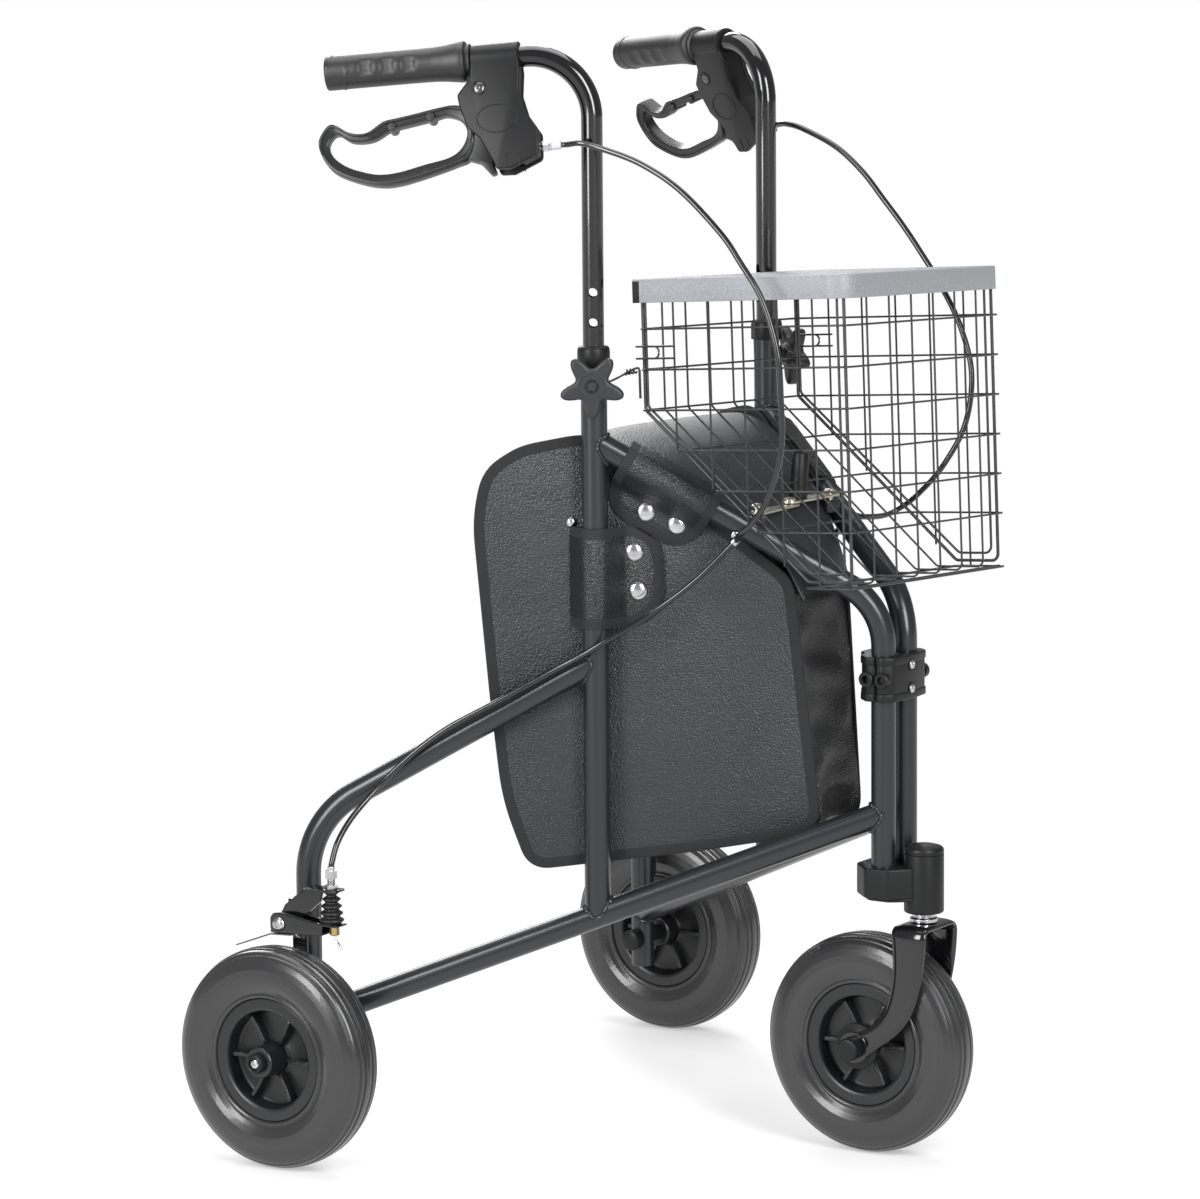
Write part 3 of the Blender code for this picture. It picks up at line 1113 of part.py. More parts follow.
def add_basket():
    """Wire basket with an open top, a level front floor and a floor that climbs to the rear."""
    half = BASKET_WIDTH / 2
    columns = [half * (2 * k / BASKET_COLUMNS - 1) for k in range(BASKET_COLUMNS + 1)]
    ys = [0, BASKET_FLOOR_DEPTH, *BASKET_SIDE_WIRES, BASKET_DEPTH]
    rise = BASKET_REAR_FLOOR_HEIGHT / (BASKET_DEPTH - BASKET_FLOOR_DEPTH)
    floor = [max(0.0, (y - BASKET_FLOOR_DEPTH) * rise) for y in ys]
    # The rim's front corners are cut back to fit the tray's round ones
    corner_start = BASKET_HEIGHT - TRAY_SKIRT - 1 * MM
    corner = 12.8 * MM
    zs = floor[1:] + [corner_start, BASKET_HEIGHT]
    mesh = bmesh.new()
    nodes = {}

    def node(x, y, z):
        if z >= corner_start and y == 0 and abs(x) == half:
            x, y = math.copysign(half - corner, x), corner
        key = (round(x, 6), round(y, 6), round(z, 6))
        if key not in nodes:
            nodes[key] = mesh.verts.new((x, y, z))
        return nodes[key]

    def face(*corners):
        made = []
        for item in (node(*corner_point) for corner_point in corners):
            if item not in made:
                made.append(item)
        mesh.faces.new(made)

    for left, right in zip(columns, columns[1:]):
        for (y0, z0), (y1, z1) in zip(zip(ys, floor), zip(ys[1:], floor[1:])):
            face((left, y0, z0), (right, y0, z0), (right, y1, z1), (left, y1, z1))
        for low, high in zip(zs, zs[1:]):
            face((left, 0, low), (left, 0, high), (right, 0, high), (right, 0, low))
            if low >= BASKET_REAR_FLOOR_HEIGHT - 1e-6:
                face((left, BASKET_DEPTH, low), (right, BASKET_DEPTH, low),
                     (right, BASKET_DEPTH, high), (left, BASKET_DEPTH, high))
    for x in (-half, half):
        for k, (low, high) in enumerate(zip(zs, zs[1:])):
            for j, (y0, y1) in enumerate(zip(ys, ys[1:])):
                if floor[j + 1] <= low + 1e-9:
                    face((x, y0, low), (x, y1, low), (x, y1, high), (x, y0, high))
                elif floor[j] <= low + 1e-9:
                    face((x, y0, low), (x, y1, high), (x, y0, high))
    bmesh.ops.recalc_face_normals(mesh, faces=mesh.faces)
    # Each face keeps a frame half a wire wide, and its middle is opened
    inset = bmesh.ops.inset_individual(mesh, faces=mesh.faces[:], thickness=BASKET_WIRE_WIDTH / 2,
                                       depth=0.0, use_even_offset=True)
    rims = set(inset["faces"])
    bmesh.ops.delete(mesh, geom=[item for item in mesh.faces if item not in rims], context="FACES_ONLY")
    mesh.transform(basket_matrix())
    made = add_object("basket", mesh, black_paint())
    thicken = made.modifiers.new("wire", "SOLIDIFY")
    thicken.thickness = BASKET_WIRE
    thicken.offset = 0.0
    thicken.use_even_offset = True


def add_tray():
    """Shallow lid on the basket's rim, with round front corners and an open rear."""
    inner = BASKET_WIDTH / 2 + BASKET_WIRE / 2 + TRAY_SIDE_GAP
    outer = inner + TRAY_WALL
    rear = BASKET_DEPTH + BASKET_WIRE / 2 + 1 * MM
    front = BASKET_WIRE / 2 + TRAY_SIDE_GAP
    ceiling = BASKET_HEIGHT + BASKET_WIRE / 2 + GAP
    top = ceiling + TRAY_TOP
    round_corner = TRAY_CORNER_RADIUS
    shape = rounded_outline([(-outer, rear), (-outer, -front - TRAY_WALL), (outer, -front - TRAY_WALL),
                             (outer, rear)], [0, round_corner, round_corner, 0], 8)
    mesh = prism(shape, top - TRAY_SKIRT, top, along_z)
    mesh.transform(basket_matrix())
    made = add_object("tray", mesh, grey_plastic())
    inside = round_corner - TRAY_WALL
    hollow = rounded_outline([(-inner, rear + 5 * MM), (-inner, -front), (inner, -front),
                              (inner, rear + 5 * MM)], [0, inside, inside, 0], 8)
    space = prism(hollow, top - TRAY_SKIRT - 5 * MM, ceiling, along_z)
    space.transform(basket_matrix())
    combine(made, space, "DIFFERENCE")


# Bag

PANEL_OUTLINE = [(33, 298), (71, 277), (156, 263), (292, 247), (305, 254.6), (324, 306.5),
                 (333.5, 393), (347, 547), (338, 590), (306, 610), (238, 623), (83, 495)]


def add_bag_panel(label, side, parent):
    """Flat vinyl side of the bag, strapped to the frame's inner face."""
    outer = -(UPRIGHT_RADIUS + GAP)
    corners = [(back * MM, up * MM) for back, up in PANEL_OUTLINE]
    radii = [14 * MM, 0, 0, 10 * MM, 10 * MM, 0, 0, 0, 20 * MM, 0, 20 * MM, 12 * MM]
    panel = prism(rounded_outline(corners, radii, 3), outer - BAG_PANEL_THICKNESS, outer, along_x)
    add_object(f"{label}_bag_panel", panel, black_vinyl(), side, parent)


def add_bag_body():
    """Soft wedge between the panels: narrow at the front, with a round top."""
    inset = UPRIGHT_RADIUS + 2 * GAP + BAG_PANEL_THICKNESS
    section = [(BAG_FRONT, 285), (BAG_FRONT + 18 * MM, 470), (95 * MM, 512), (122 * MM, 545),
               (155 * MM, 549), (185 * MM, 584), (230 * MM, 604), (285 * MM, 602),
               (BAG_REAR - 6 * MM, 560), (BAG_REAR - 20 * MM, 262), (160 * MM, 268)]
    rings = []
    for sign in (-1, 1):
        ring = []
        for back, up in section:
            x = HINGE_X + back * math.sin(SPLAY) - inset * math.cos(SPLAY)
            y = HINGE_Y + back * math.cos(SPLAY) + inset * math.sin(SPLAY)
            ring.append(Vector((sign * x, y, up * MM)))
        rings.append(ring)
    add_object("bag_body", loft(rings), black_vinyl())


# Assembly

def add_side(label, side):
    fold_axis = empty(f"{label}_fold_axis", (side * HINGE_X, HINGE_Y, 0), -side * SPLAY)
    mount = empty(f"{label}_wheel_mount", (0, LEG_BACK, 0), side * SPLAY, fold_axis)
    handle_axis = empty(f"{label}_handle_axis", (0, UPRIGHT_BACK, 0), side * (SPLAY - HANDLE_SPLAY),
                        fold_axis)
    add_front_tube(label, side, fold_axis)
    add_upright(label, side, fold_axis)
    add_lower_rail(label, side, fold_axis)
    add_rear_leg(label, side, fold_axis, mount)
    add_collar(label, side, fold_axis)
    add_knob(label, side, fold_axis)
    add_bag_panel(label, side, fold_axis)
    add_rear_axle(label, side, mount)
    add_wheel(f"{label}_rear", side, mount, (WHEEL_OFFSET, 0, WHEEL_RADIUS),
              HUB_INNER_LENGTH, HUB_OUTER_LENGTH)
    add_brake_bracket(label, side, mount)
    add_brake_adjuster(label, side, mount)
    add_bellows(label, side, mount)
    add_brake_arm(label, side, mount)
    add_handle_tube(label, side, handle_axis)
    add_grip(label, side, handle_axis)
    add_brake_housing(label, side, handle_axis)
    add_brake_lever(label, side, handle_axis)
    add_cable_adjuster(label, side, handle_axis)
    bpy.context.view_layer.update()
    add_brake_cable(label, side, fold_axis, handle_axis, mount)


def build():
    clear_scene()
    add_hinge_block()
    add_clamp()
    swivel = empty("caster_axis", (0, 0, 0))
    add_fork(swivel)
    add_stem(swivel)
    add_front_axle(swivel)
    add_wheel("front", LEFT, swivel, (0, FRONT_AXLE_Y, WHEEL_RADIUS), HUB_INNER_LENGTH,
              HUB_INNER_LENGTH)
    for label, side in SIDES.items():
        add_side(label, side)
    upper = BRACE_HEIGHT + BRACE_PLATE + GAP
    add_brace_link("right", RIGHT, None, BRACE_HEIGHT)
    add_brace_link("left", LEFT, None, upper)
    add_brace_handle(None, upper + BRACE_PLATE + GAP)
    add_basket()
    add_tray()
    add_bag_body()


build()
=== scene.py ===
# %% [markdown]
# # Three-wheeled indoor walker
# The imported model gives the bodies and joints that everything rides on. It is loaded
# first and never moved. What the eye sees is built over it as finer surfaces, and each
# surface takes the place of the CAD node it stands for.

import math

import bpy
import numpy as np
from mathutils import Matrix, Vector


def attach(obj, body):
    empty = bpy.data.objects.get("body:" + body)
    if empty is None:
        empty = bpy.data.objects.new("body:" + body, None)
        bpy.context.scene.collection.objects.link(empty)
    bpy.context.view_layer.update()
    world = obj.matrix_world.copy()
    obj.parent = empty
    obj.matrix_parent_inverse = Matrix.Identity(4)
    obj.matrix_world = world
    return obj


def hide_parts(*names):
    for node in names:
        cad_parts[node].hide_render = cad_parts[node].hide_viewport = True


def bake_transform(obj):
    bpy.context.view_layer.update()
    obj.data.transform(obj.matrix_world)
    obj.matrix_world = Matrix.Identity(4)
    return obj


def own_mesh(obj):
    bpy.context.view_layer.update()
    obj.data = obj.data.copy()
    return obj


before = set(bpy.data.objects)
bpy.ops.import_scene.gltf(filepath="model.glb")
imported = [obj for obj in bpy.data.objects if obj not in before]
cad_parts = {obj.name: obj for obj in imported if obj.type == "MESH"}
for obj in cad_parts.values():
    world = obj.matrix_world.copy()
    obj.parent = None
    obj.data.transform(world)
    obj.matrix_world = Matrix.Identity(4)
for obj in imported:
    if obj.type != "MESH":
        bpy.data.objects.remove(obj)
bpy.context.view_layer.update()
MM = 0.001
SIDES = {"left": 1.0, "right": -1.0}

# %% [markdown]
# A surface is a grid of points, rows along the piece and columns round it. The same few
# lines turn any such grid into faces, close its ends, and turn it over if its volume
# comes out negative, so a left-hand piece can be mirrored without turning inside out.
# Each face also keeps how far along and round the piece it lies, in millimetres, which
# cloth and cords use for their weave.

# %% Grids into skins
def unit(v):
    """A vector, or each vector of an array, divided by its own length."""
    return v / np.linalg.norm(v, axis=-1, keepdims=True)


def skin(points, wrap=True, endless=False, caps=True):
    """Quads join each point with its neighbours in the next row and column; caps close both ends."""
    points = np.asarray(points, float)
    rows, cols = points.shape[:2]
    number = np.arange(rows * cols).reshape(rows, cols)
    along = np.concatenate([[0], np.cumsum(np.linalg.norm(np.diff(points, axis=0), axis=2).mean(1))])
    closed = np.concatenate([points, points[:, :1]], 1) if wrap else points
    around = np.concatenate([[0], np.cumsum(np.linalg.norm(np.diff(closed, axis=1), axis=2).mean(0))])
    if endless:
        number = np.vstack([number, number[:1]])
        step = np.linalg.norm(points[0] - points[-1], axis=1).mean()
        along = np.append(along, along[-1] + step)
    if wrap:
        number = np.hstack([number, number[:, :1]])
    u, v = np.meshgrid(along, around, indexing="ij")
    place = np.stack([u, v], -1)
    corners = [(slice(None, -1), slice(None, -1)), (slice(None, -1), slice(1, None)),
               (slice(1, None), slice(1, None)), (slice(1, None), slice(None, -1))]
    quads = np.stack([number[c] for c in corners], -1).reshape(-1, 4)
    spots = np.stack([place[c] for c in corners], 2).reshape(-1, 4, 2)
    ends = []
    if caps and wrap and not endless:
        ends = [np.arange(cols)[::-1], np.arange(cols) + (rows - 1) * cols]
    return {"points": points.reshape(-1, 3), "quads": quads, "spots": spots, "ends": ends}


sample = skin(np.random.default_rng(1).random((3, 4, 3)))
print("skin of a 3 by 4 grid:", len(sample["quads"]), "quads")

# %% [markdown]
# Three small steps change a whole skin. They turn it over where it faces inwards, send
# its points to another place, or mirror it to the other side.

# %% Changes to skins
def outward(part):
    """The part with its faces turned over if six times its signed volume is negative."""
    p, q = part["points"], part["quads"]
    fans = [np.stack([np.full(len(e) - 2, e[0]), e[1:-1], e[2:]], -1) for e in part["ends"]]
    thirds = np.concatenate([q[:, [0, 1, 2]], q[:, [0, 2, 3]], *fans])
    a, b, c = (p[thirds[:, k]] for k in range(3))
    if np.einsum("ij,ij->", a - p.mean(0), np.cross(b - p.mean(0), c - p.mean(0))) >= 0:
        return part
    return {"points": p, "quads": q[:, ::-1], "spots": part["spots"][:, ::-1],
            "ends": [e[::-1] for e in part["ends"]]}


def moved(part, place):
    """The part with every point sent through a function that maps an array of points."""
    return dict(part, points=place(part["points"]))


def mirrored(part, side):
    """The part with its x times the side's sign."""
    return dict(part, points=part["points"] * np.array([side, 1.0, 1.0]))


print("mirrored, the grid keeps", len(mirrored(sample, -1)["quads"]), "quads")

# %% [markdown]
# Skins that share a finish and a body become one mesh. All its faces are shaded smooth,
# and edges sharper than a given angle stay crisp.

# %% Skins into meshes
def mesh_of(name, parts, crisp):
    """One mesh from skins in millimetres, with its own map of distances along and round."""
    parts = [outward(part) for part in parts]
    starts = np.cumsum([0] + [len(part["points"]) for part in parts])
    points = np.concatenate([part["points"] for part in parts]) * MM
    faces = []
    spots = []
    for part, start in zip(parts, starts):
        faces += (part["quads"] + start).tolist() + [(e + start).tolist() for e in part["ends"]]
        spots += [part["spots"].reshape(-1, 2), np.zeros((sum(len(e) for e in part["ends"]), 2))]
    mesh = bpy.data.meshes.new(name)
    mesh.from_pydata(points.tolist(), [], faces)
    way = mesh.uv_layers.new(name="way")
    way.data.foreach_set("uv", (np.concatenate(spots) * MM).astype(np.float32).ravel())
    mesh.polygons.foreach_set("use_smooth", np.ones(len(faces), bool))
    mesh.set_sharp_from_angle(angle=math.radians(crisp))
    mesh.update()
    return mesh


print("each mesh carries a map in metres")

# %% [markdown]
# A piece is an object at the origin with its place in its points. It rides on a body and
# can stand for nodes of the CAD. Most pieces come in pairs, one on each side.

# %% Meshes into pieces
def piece(name, body, finish, parts, stands_for=(), crisp=38, place=None):
    """An object of skins, sent through place, that rides on a body and stands for its CAD nodes.
    It gets a name of its own, since the node keeps the plain one."""
    if place:
        parts = [moved(part, place) for part in parts]
    if stands_for:
        name += "_skin"
    made = bpy.data.objects.new(name, mesh_of(name, parts, crisp))
    made.data.materials.append(finish)
    bpy.context.scene.collection.objects.link(made)
    if body:
        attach(made, body)
    if stands_for:
        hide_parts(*stands_for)
    return made


def pair(name, body, finish, parts, stands_for=(), crisp=38, place=None):
    """The same piece on the left and, mirrored, on the right; {s} in a name is the side."""
    if place:
        parts = [moved(part, place) for part in parts]
    return [piece(f"{side}_{name}", body.format(s=side), finish, [mirrored(p, sign) for p in parts],
                  [node.format(s=side) for node in stands_for], crisp)
            for side, sign in SIDES.items()]


print("pieces are joined from skins in millimetres")

# %% [markdown]
# Almost everything on a walker is bent tube, pressed plate or a turned or moulded part.
# All of them start from a line: straight runs with arcs at the corners, a smooth curve
# through points, or a closed outline with eased corners.

# %% Lines and corners
def bent(corners, radius, steps=16):
    """Straight runs, with each inner corner replaced by an arc: centre + slerp of its two radii."""
    corners = np.asarray(corners, float)
    runs = [corners[:1]]
    for before, corner, after in zip(corners, corners[1:], corners[2:]):
        a, b = unit(before - corner), unit(after - corner)
        half = math.acos(float(np.clip(a @ b, -1, 1))) / 2
        turn = math.pi - 2 * half
        centre = corner + unit(a + b) * radius / math.sin(half)
        first = corner + a * radius / math.tan(half) - centre
        last = corner + b * radius / math.tan(half) - centre
        share = np.linspace(0, 1, steps)[:, None]
        swept = np.sin((1 - share) * turn) * first + np.sin(share * turn) * last
        runs.append(centre + swept / math.sin(turn))
    return np.concatenate([*runs, corners[-1:]])


def flowing(points, steps=8, closed=False):
    """Catmull-Rom curve through the points: a cubic between each two, sloped by their neighbours."""
    p = np.asarray(points, float)
    if closed:
        p = np.concatenate([p[-1:], p, p[:2]])
    else:
        p = np.concatenate([2 * p[:1] - p[1:2], p, 2 * p[-1:] - p[-2:-1]])
    t = np.arange(steps)[:, None, None] / steps
    a, b, c, d = p[None, :-3], p[None, 1:-2], p[None, 2:-1], p[None, 3:]
    square = 2 * a - 5 * b + 4 * c - d
    cube = 3 * b - a - 3 * c + d
    curve = 0.5 * (2 * b + (c - a) * t + square * t**2 + cube * t**3)
    curve = curve.transpose(1, 0, 2).reshape(-1, p.shape[1])
    return curve if closed else np.concatenate([curve, p[-2:-1]])


def evenly(path, spacing):
    """Points at equal distances along a path, found by interpolating over its length."""
    length = np.concatenate([[0], np.cumsum(np.linalg.norm(np.diff(path, axis=0), axis=1))])
    wanted = np.linspace(0, length[-1], int(round(length[-1] / spacing)) + 1)
    return np.stack([np.interp(wanted, length, path[:, k]) for k in range(path.shape[1])], -1)


def directions(path, closed=False):
    """Unit tangent at each point: the sum of the directions of the two runs that meet there."""
    runs = unit(np.diff(path, axis=0))
    if closed:
        last = unit(path[:1] - path[-1:])
        return unit(np.concatenate([last, runs]) + np.concatenate([runs, last]))
    return unit(np.concatenate([runs[:1], runs]) + np.concatenate([runs, runs[-1:]]))


def eased(outline, radius, closed=True, steps=4):
    """Outline with each corner rounded by an arc, as large as a third of its shorter side."""
    p = np.asarray(outline, float)
    order = range(len(p)) if closed else range(1, len(p) - 1)
    runs = [] if closed else [p[:1]]
    for k in order:
        before, corner, after = p[k - 1], p[k], p[(k + 1) % len(p)]
        a, b = before - corner, after - corner
        reach = min(np.linalg.norm(a), np.linalg.norm(b)) / 3
        half = math.acos(float(np.clip(unit(a) @ unit(b), -0.9999, 0.9999))) / 2
        size = min(radius, reach * math.tan(half))
        if size < 0.02 or half > 1.5:
            runs.append(corner[None])
            continue
        ends = [corner + unit(a) * reach, corner, corner + unit(b) * reach]
        runs.append(bent(ends, size, steps)[1:-1])
    return np.concatenate(runs if closed else [*runs, p[-1:]])


elbow = bent([(0, 0, 0), (0, 0, 90), (0, 90, 90)], 30)
print("a bend has", len(elbow), "points")

# %% [markdown]
# A section carried along such a line is a tube, a cord or a strip. Many straight wires
# are made at once.

# %% Tubes and wires
def circle(radius, sides=32):
    """Points of a circle: radius times (cos, sin) of equal angles."""
    angle = 2 * math.pi * np.arange(sides) / sides
    return np.stack([np.cos(angle), np.sin(angle)], -1) * radius


def carried(path, section, across, closed=False):
    """Section (n, 2), or one section a point, carried along a path: point + a * side + b * rise."""
    path = np.asarray(path, float)
    ahead = directions(path, closed)
    side = unit(np.cross(ahead, np.asarray(across, float)))
    rise = np.cross(side, ahead)
    section = np.broadcast_to(section, (len(path), *np.shape(section)[-2:]))
    points = path[:, None] + section[..., :1] * side[:, None] + section[..., 1:] * rise[:, None]
    return skin(points, endless=closed)


def tube(path, radius, across=(1, 0, 0), sides=40):
    """A round ring carried along the path, with its rims rounded over the last 0.6 mm."""
    path = np.asarray(path, float)
    first, last = unit(path[1] - path[0]) * 0.6, unit(path[-1] - path[-2]) * 0.6
    path = np.concatenate([path[:1], path[:1] + first, path[1:-1], path[-1:] - last, path[-1:]])
    size = np.ones(len(path))
    size[[0, -1]] = 1 - 0.6 / radius
    return carried(path, circle(radius, sides)[None] * size[:, None, None], across)


def wires(starts, ends, radius, sides=8):
    """Straight round wires as one batch: both ends of each get a ring square to its run."""
    starts, ends = np.asarray(starts, float), np.asarray(ends, float)
    ahead = unit(ends - starts)
    helper = np.where(np.abs(ahead[:, 2:]) > 0.9, np.array([[1.0, 0, 0]]), np.array([[0, 0, 1.0]]))
    side = unit(np.cross(ahead, helper))
    rise = np.cross(ahead, side)
    ring = circle(radius, sides)
    wall = ring[None, :, :1] * side[:, None] + ring[None, :, 1:] * rise[:, None]
    return [skin(np.stack([a + w, b + w])) for a, b, w in zip(starts, ends, wall)]


print("a bent tube has", len(tube(elbow, 10)["points"]), "points")

# %% [markdown]
# Other parts are a profile turned about an axis, or a flat outline with rounded edges.
# Each is made in axes of its own and then sent to its place.

# %% Turned and flat shapes
def seat(origin, x_axis, y_axis, z_axis):
    """Function that sends local points to origin + x * x_axis + y * y_axis + z * z_axis."""
    origin = np.asarray(origin, float)
    axes = np.stack([np.asarray(axis, float) for axis in (x_axis, y_axis, z_axis)])
    return lambda p: origin + np.asarray(p, float) @ axes


def turned(profile, origin=(0, 0, 0), axis=(0, 0, 1), sides=48, hollow=False, edge=0.0):
    """Profile of (radius, height) turned about an axis; hollow profiles close on themselves."""
    profile = np.asarray(profile, float)
    if edge:
        profile = eased(profile, edge, hollow)
    z = unit(np.asarray(axis, float))
    x = unit(np.cross(z, (0, 1, 0) if abs(z[1]) < 0.9 else (0, 0, 1)))
    ring = circle(1.0, sides)
    level = np.broadcast_to(profile[:, None, 1:], (len(profile), sides, 1))
    local = np.concatenate([profile[:, None, :1] * ring[None], level], -1)
    return moved(skin(local, endless=hollow), seat(origin, x, np.cross(z, x), z))


def plate(outline, low, high, place, edge=1.0, steps=3):
    """Flat outline between two levels with rounded edges, one size or (low, high). Each ring is drawn
    in by edge * (1 - sin) or edge * (1 - cos) of equal angles."""
    p = np.asarray(outline, float)
    ahead = directions(p, closed=True)
    normal = np.stack([ahead[:, 1], -ahead[:, 0]], -1)
    area = (p[:, 0] * np.roll(p[:, 1], -1) - p[:, 1] * np.roll(p[:, 0], -1)).sum()
    normal *= np.sign(area)
    angle = np.linspace(0, math.pi / 2, steps + 1)
    below, above = edge if isinstance(edge, tuple) else (edge, edge)
    inset = np.concatenate([below * (1 - np.sin(angle)), above * (1 - np.cos(angle))])
    level = np.concatenate([low + below * (1 - np.cos(angle)), high - above * (1 - np.sin(angle))])
    rings = p[None] - normal[None] * inset[:, None, None]
    local = np.concatenate([rings, np.broadcast_to(level[:, None, None], (*rings.shape[:2], 1))], -1)
    return moved(skin(local), place)


washer = turned([(9, 0), (10, 0), (10, 1), (9, 1)], hollow=True)
print("a washer has", len(washer["quads"]), "quads")

# %% [markdown]
# The two side frames fold about one vertical hinge behind the front wheel, so each is
# measured in its own plane: out from the plane, back from the hinge, and up. The handle
# turns a little less far out than its frame, and the basket leans as it hangs from the
# knobs. A function for each sends its millimetres to those of the whole model.

# %% Frames of measure
def facing(angle):
    """Unit vectors of out and back for a plane turned outwards by an angle from straight back."""
    turn = math.radians(angle)
    return (math.cos(turn), -math.sin(turn), 0), (math.sin(turn), math.cos(turn), 0)


def chained(*places):
    """One function that sends points through several, first to last."""
    def go(p):
        for place in places:
            p = place(p)
        return p
    return go


UP = (0, 0, 1)
LEVEL = ((1, 0, 0), (0, 1, 0), UP)
in_place = seat((0, 0, 0), *LEVEL)
AXLE_HIGH = 95.25
hinge_out, hinge_y = 17.8, -223.115
frame_turn, handle_turn = 30.06, 24.0
wheel_centre = np.array([309.543, 200.115, AXLE_HIGH])
axle_y = -200.115
stem_y = -252.115
to_frame = seat((hinge_out, hinge_y, 0), *facing(frame_turn), UP)
to_mount = seat((262.743, 200.115, 0), *LEVEL)
to_handle = seat((139.22, -13.318, 0), *facing(handle_turn), UP)
grip_drop, grip_roll = math.radians(4.9), math.radians(19.0)
along = np.array([0, math.cos(grip_drop), -math.sin(grip_drop)])
down = np.array([0, -math.sin(grip_drop), -math.cos(grip_drop)])
outer = np.array([1.0, 0, 0])
down_rolled = down * math.cos(grip_roll) + outer * math.sin(grip_roll)
out_rolled = outer * math.cos(grip_roll) - down * math.sin(grip_roll)
handle_high, grip_tip = 941.3, 222
along_grip = seat((0, 0, handle_high), along, down_rolled, out_rolled)
to_grip = chained(along_grip, to_handle)
basket_turn = Matrix.Rotation(math.radians(2.5), 3, "Y") @ Matrix.Rotation(math.radians(-3.4), 3, "X")
to_basket = seat((0, -259.815, 499.85), *[list(axis) for axis in basket_turn.transposed()])
to_wheel = seat(wheel_centre, *LEVEL)
print("left grip ends at", np.round(to_grip([grip_tip, 0, 0])), "left wheel stands at", wheel_centre)

# %% [markdown]
# Materials are procedural. A small wrapper lets shader sockets take part in formulas, and
# one method makes any node from its type, its settings and what goes into it. Patterns are
# measured in metres on the object itself, or along the piece's own map for woven edges.

# %% Shader sockets as numbers
class Socket:
    """A shader value for use in formulas with other values or plain numbers."""

    def __init__(self, graph, out):
        self.graph = graph
        self.out = out

    def math(self, operation, a, b=0.0, clamp=False):
        """The output of one Math node."""
        settings = {"operation": operation, "use_clamp": clamp}
        return self.graph.node("ShaderNodeMath", settings, {0: a, 1: b})[0]

    def __add__(self, other):
        return self.math("ADD", self, other)

    def __radd__(self, other):
        return self.math("ADD", other, self)

    def __sub__(self, other):
        return self.math("SUBTRACT", self, other)

    def __rsub__(self, other):
        return self.math("SUBTRACT", other, self)

    def __mul__(self, other):
        return self.math("MULTIPLY", self, other)

    def __rmul__(self, other):
        return self.math("MULTIPLY", other, self)

    def __truediv__(self, other):
        return self.math("DIVIDE", self, other)

    def __rtruediv__(self, other):
        return self.math("DIVIDE", other, self)

    def __pow__(self, other):
        return self.math("POWER", self, other)

    def over(self, low, high):
        """0 below low, 1 above high, and a straight ramp between."""
        return self.math("MULTIPLY", self - low, 1 / (high - low), clamp=True)

    def mix(self, a, b):
        """Colour a where this value is 0 and colour b where it is 1."""
        made = self.graph.node("ShaderNodeMix", {"data_type": "RGBA"}, {0: self, 6: a, 7: b})
        return made[2]


print("sockets take + - * / and ** on both sides")

# %% [markdown]
# One material is a graph with its principled shader. Its methods make the nodes that the
# finishes share: places, noise, cells, bumps and the looks of the shader.

# %% Materials as graphs
class Graph:
    """The node tree of one material with its principled shader."""

    def __init__(self, name, colour, roughness, metallic=0.0, coat=0.0, shine=0.5):
        self.material = bpy.data.materials.new(name)
        self.material.use_nodes = True
        self.tree = self.material.node_tree
        self.shader = self.tree.nodes["Principled BSDF"]
        self.feed(self.shader, {"Base Color": (*colour, 1), "Roughness": roughness,
                                "Metallic": metallic, "Coat Weight": coat,
                                "Specular IOR Level": shine})

    def feed(self, node, inputs):
        """Each input of a node takes the link of a Socket, or else a plain value."""
        for key, value in inputs.items():
            if isinstance(value, Socket):
                self.tree.links.new(value.out, node.inputs[key])
            else:
                node.inputs[key].default_value = value

    def node(self, kind, settings, inputs):
        """A node of a kind, its settings made first; returns its outputs by number."""
        made = self.tree.nodes.new(kind)
        for key, value in settings.items():
            setattr(made, key, value)
        self.feed(made, inputs)
        return [Socket(self, out) for out in made.outputs]

    def place(self):
        """The point on the object, in metres."""
        return self.node("ShaderNodeTexCoord", {}, {})[3]

    def way(self):
        """How far along and round the piece, in metres."""
        point = self.node("ShaderNodeUVMap", {"uv_map": "way"}, {})[0]
        return self.node("ShaderNodeSeparateXYZ", {}, {0: point})[:2]

    def noise(self, size, detail=2.0, roughness=0.5, at=None, stretch=None):
        """Noise with features of about a size in millimetres."""
        at = at or self.place()
        if stretch:
            at = self.node("ShaderNodeVectorMath", {"operation": "MULTIPLY"}, {0: at, 1: stretch})[0]
        return self.node("ShaderNodeTexNoise", {}, {"Vector": at, "Scale": 1000 / size,
                                                    "Detail": detail, "Roughness": roughness})[0]

    def cells(self, size, feature="F1"):
        """Distance to the nearest of random points about a size apart, in cells."""
        return self.node("ShaderNodeTexVoronoi", {"feature": feature},
                         {"Vector": self.place(), "Scale": 1000 / size})[0]

    def bump(self, height, depth, strength=1.0):
        """The normal of a height from 0 to 1 that stands for a depth in millimetres."""
        normal = self.node("ShaderNodeBump", {}, {"Strength": strength, "Distance": depth * MM,
                                                  "Height": height})[0]
        self.feed(self.shader, {"Normal": normal})

    def look(self, **values):
        """Feeds the shader's inputs, named with _ for a space, and gives the material."""
        self.feed(self.shader, {key.replace("_", " ").title(): value for key, value in values.items()})
        return self.material


print("a graph feeds its shader from sockets and numbers")

# %% [markdown]
# Five kinds of finish cover the walker: dark paint, plastic and rubber with a fine grain,
# plated metal, embossed vinyl, woven tape and speckled plastic.

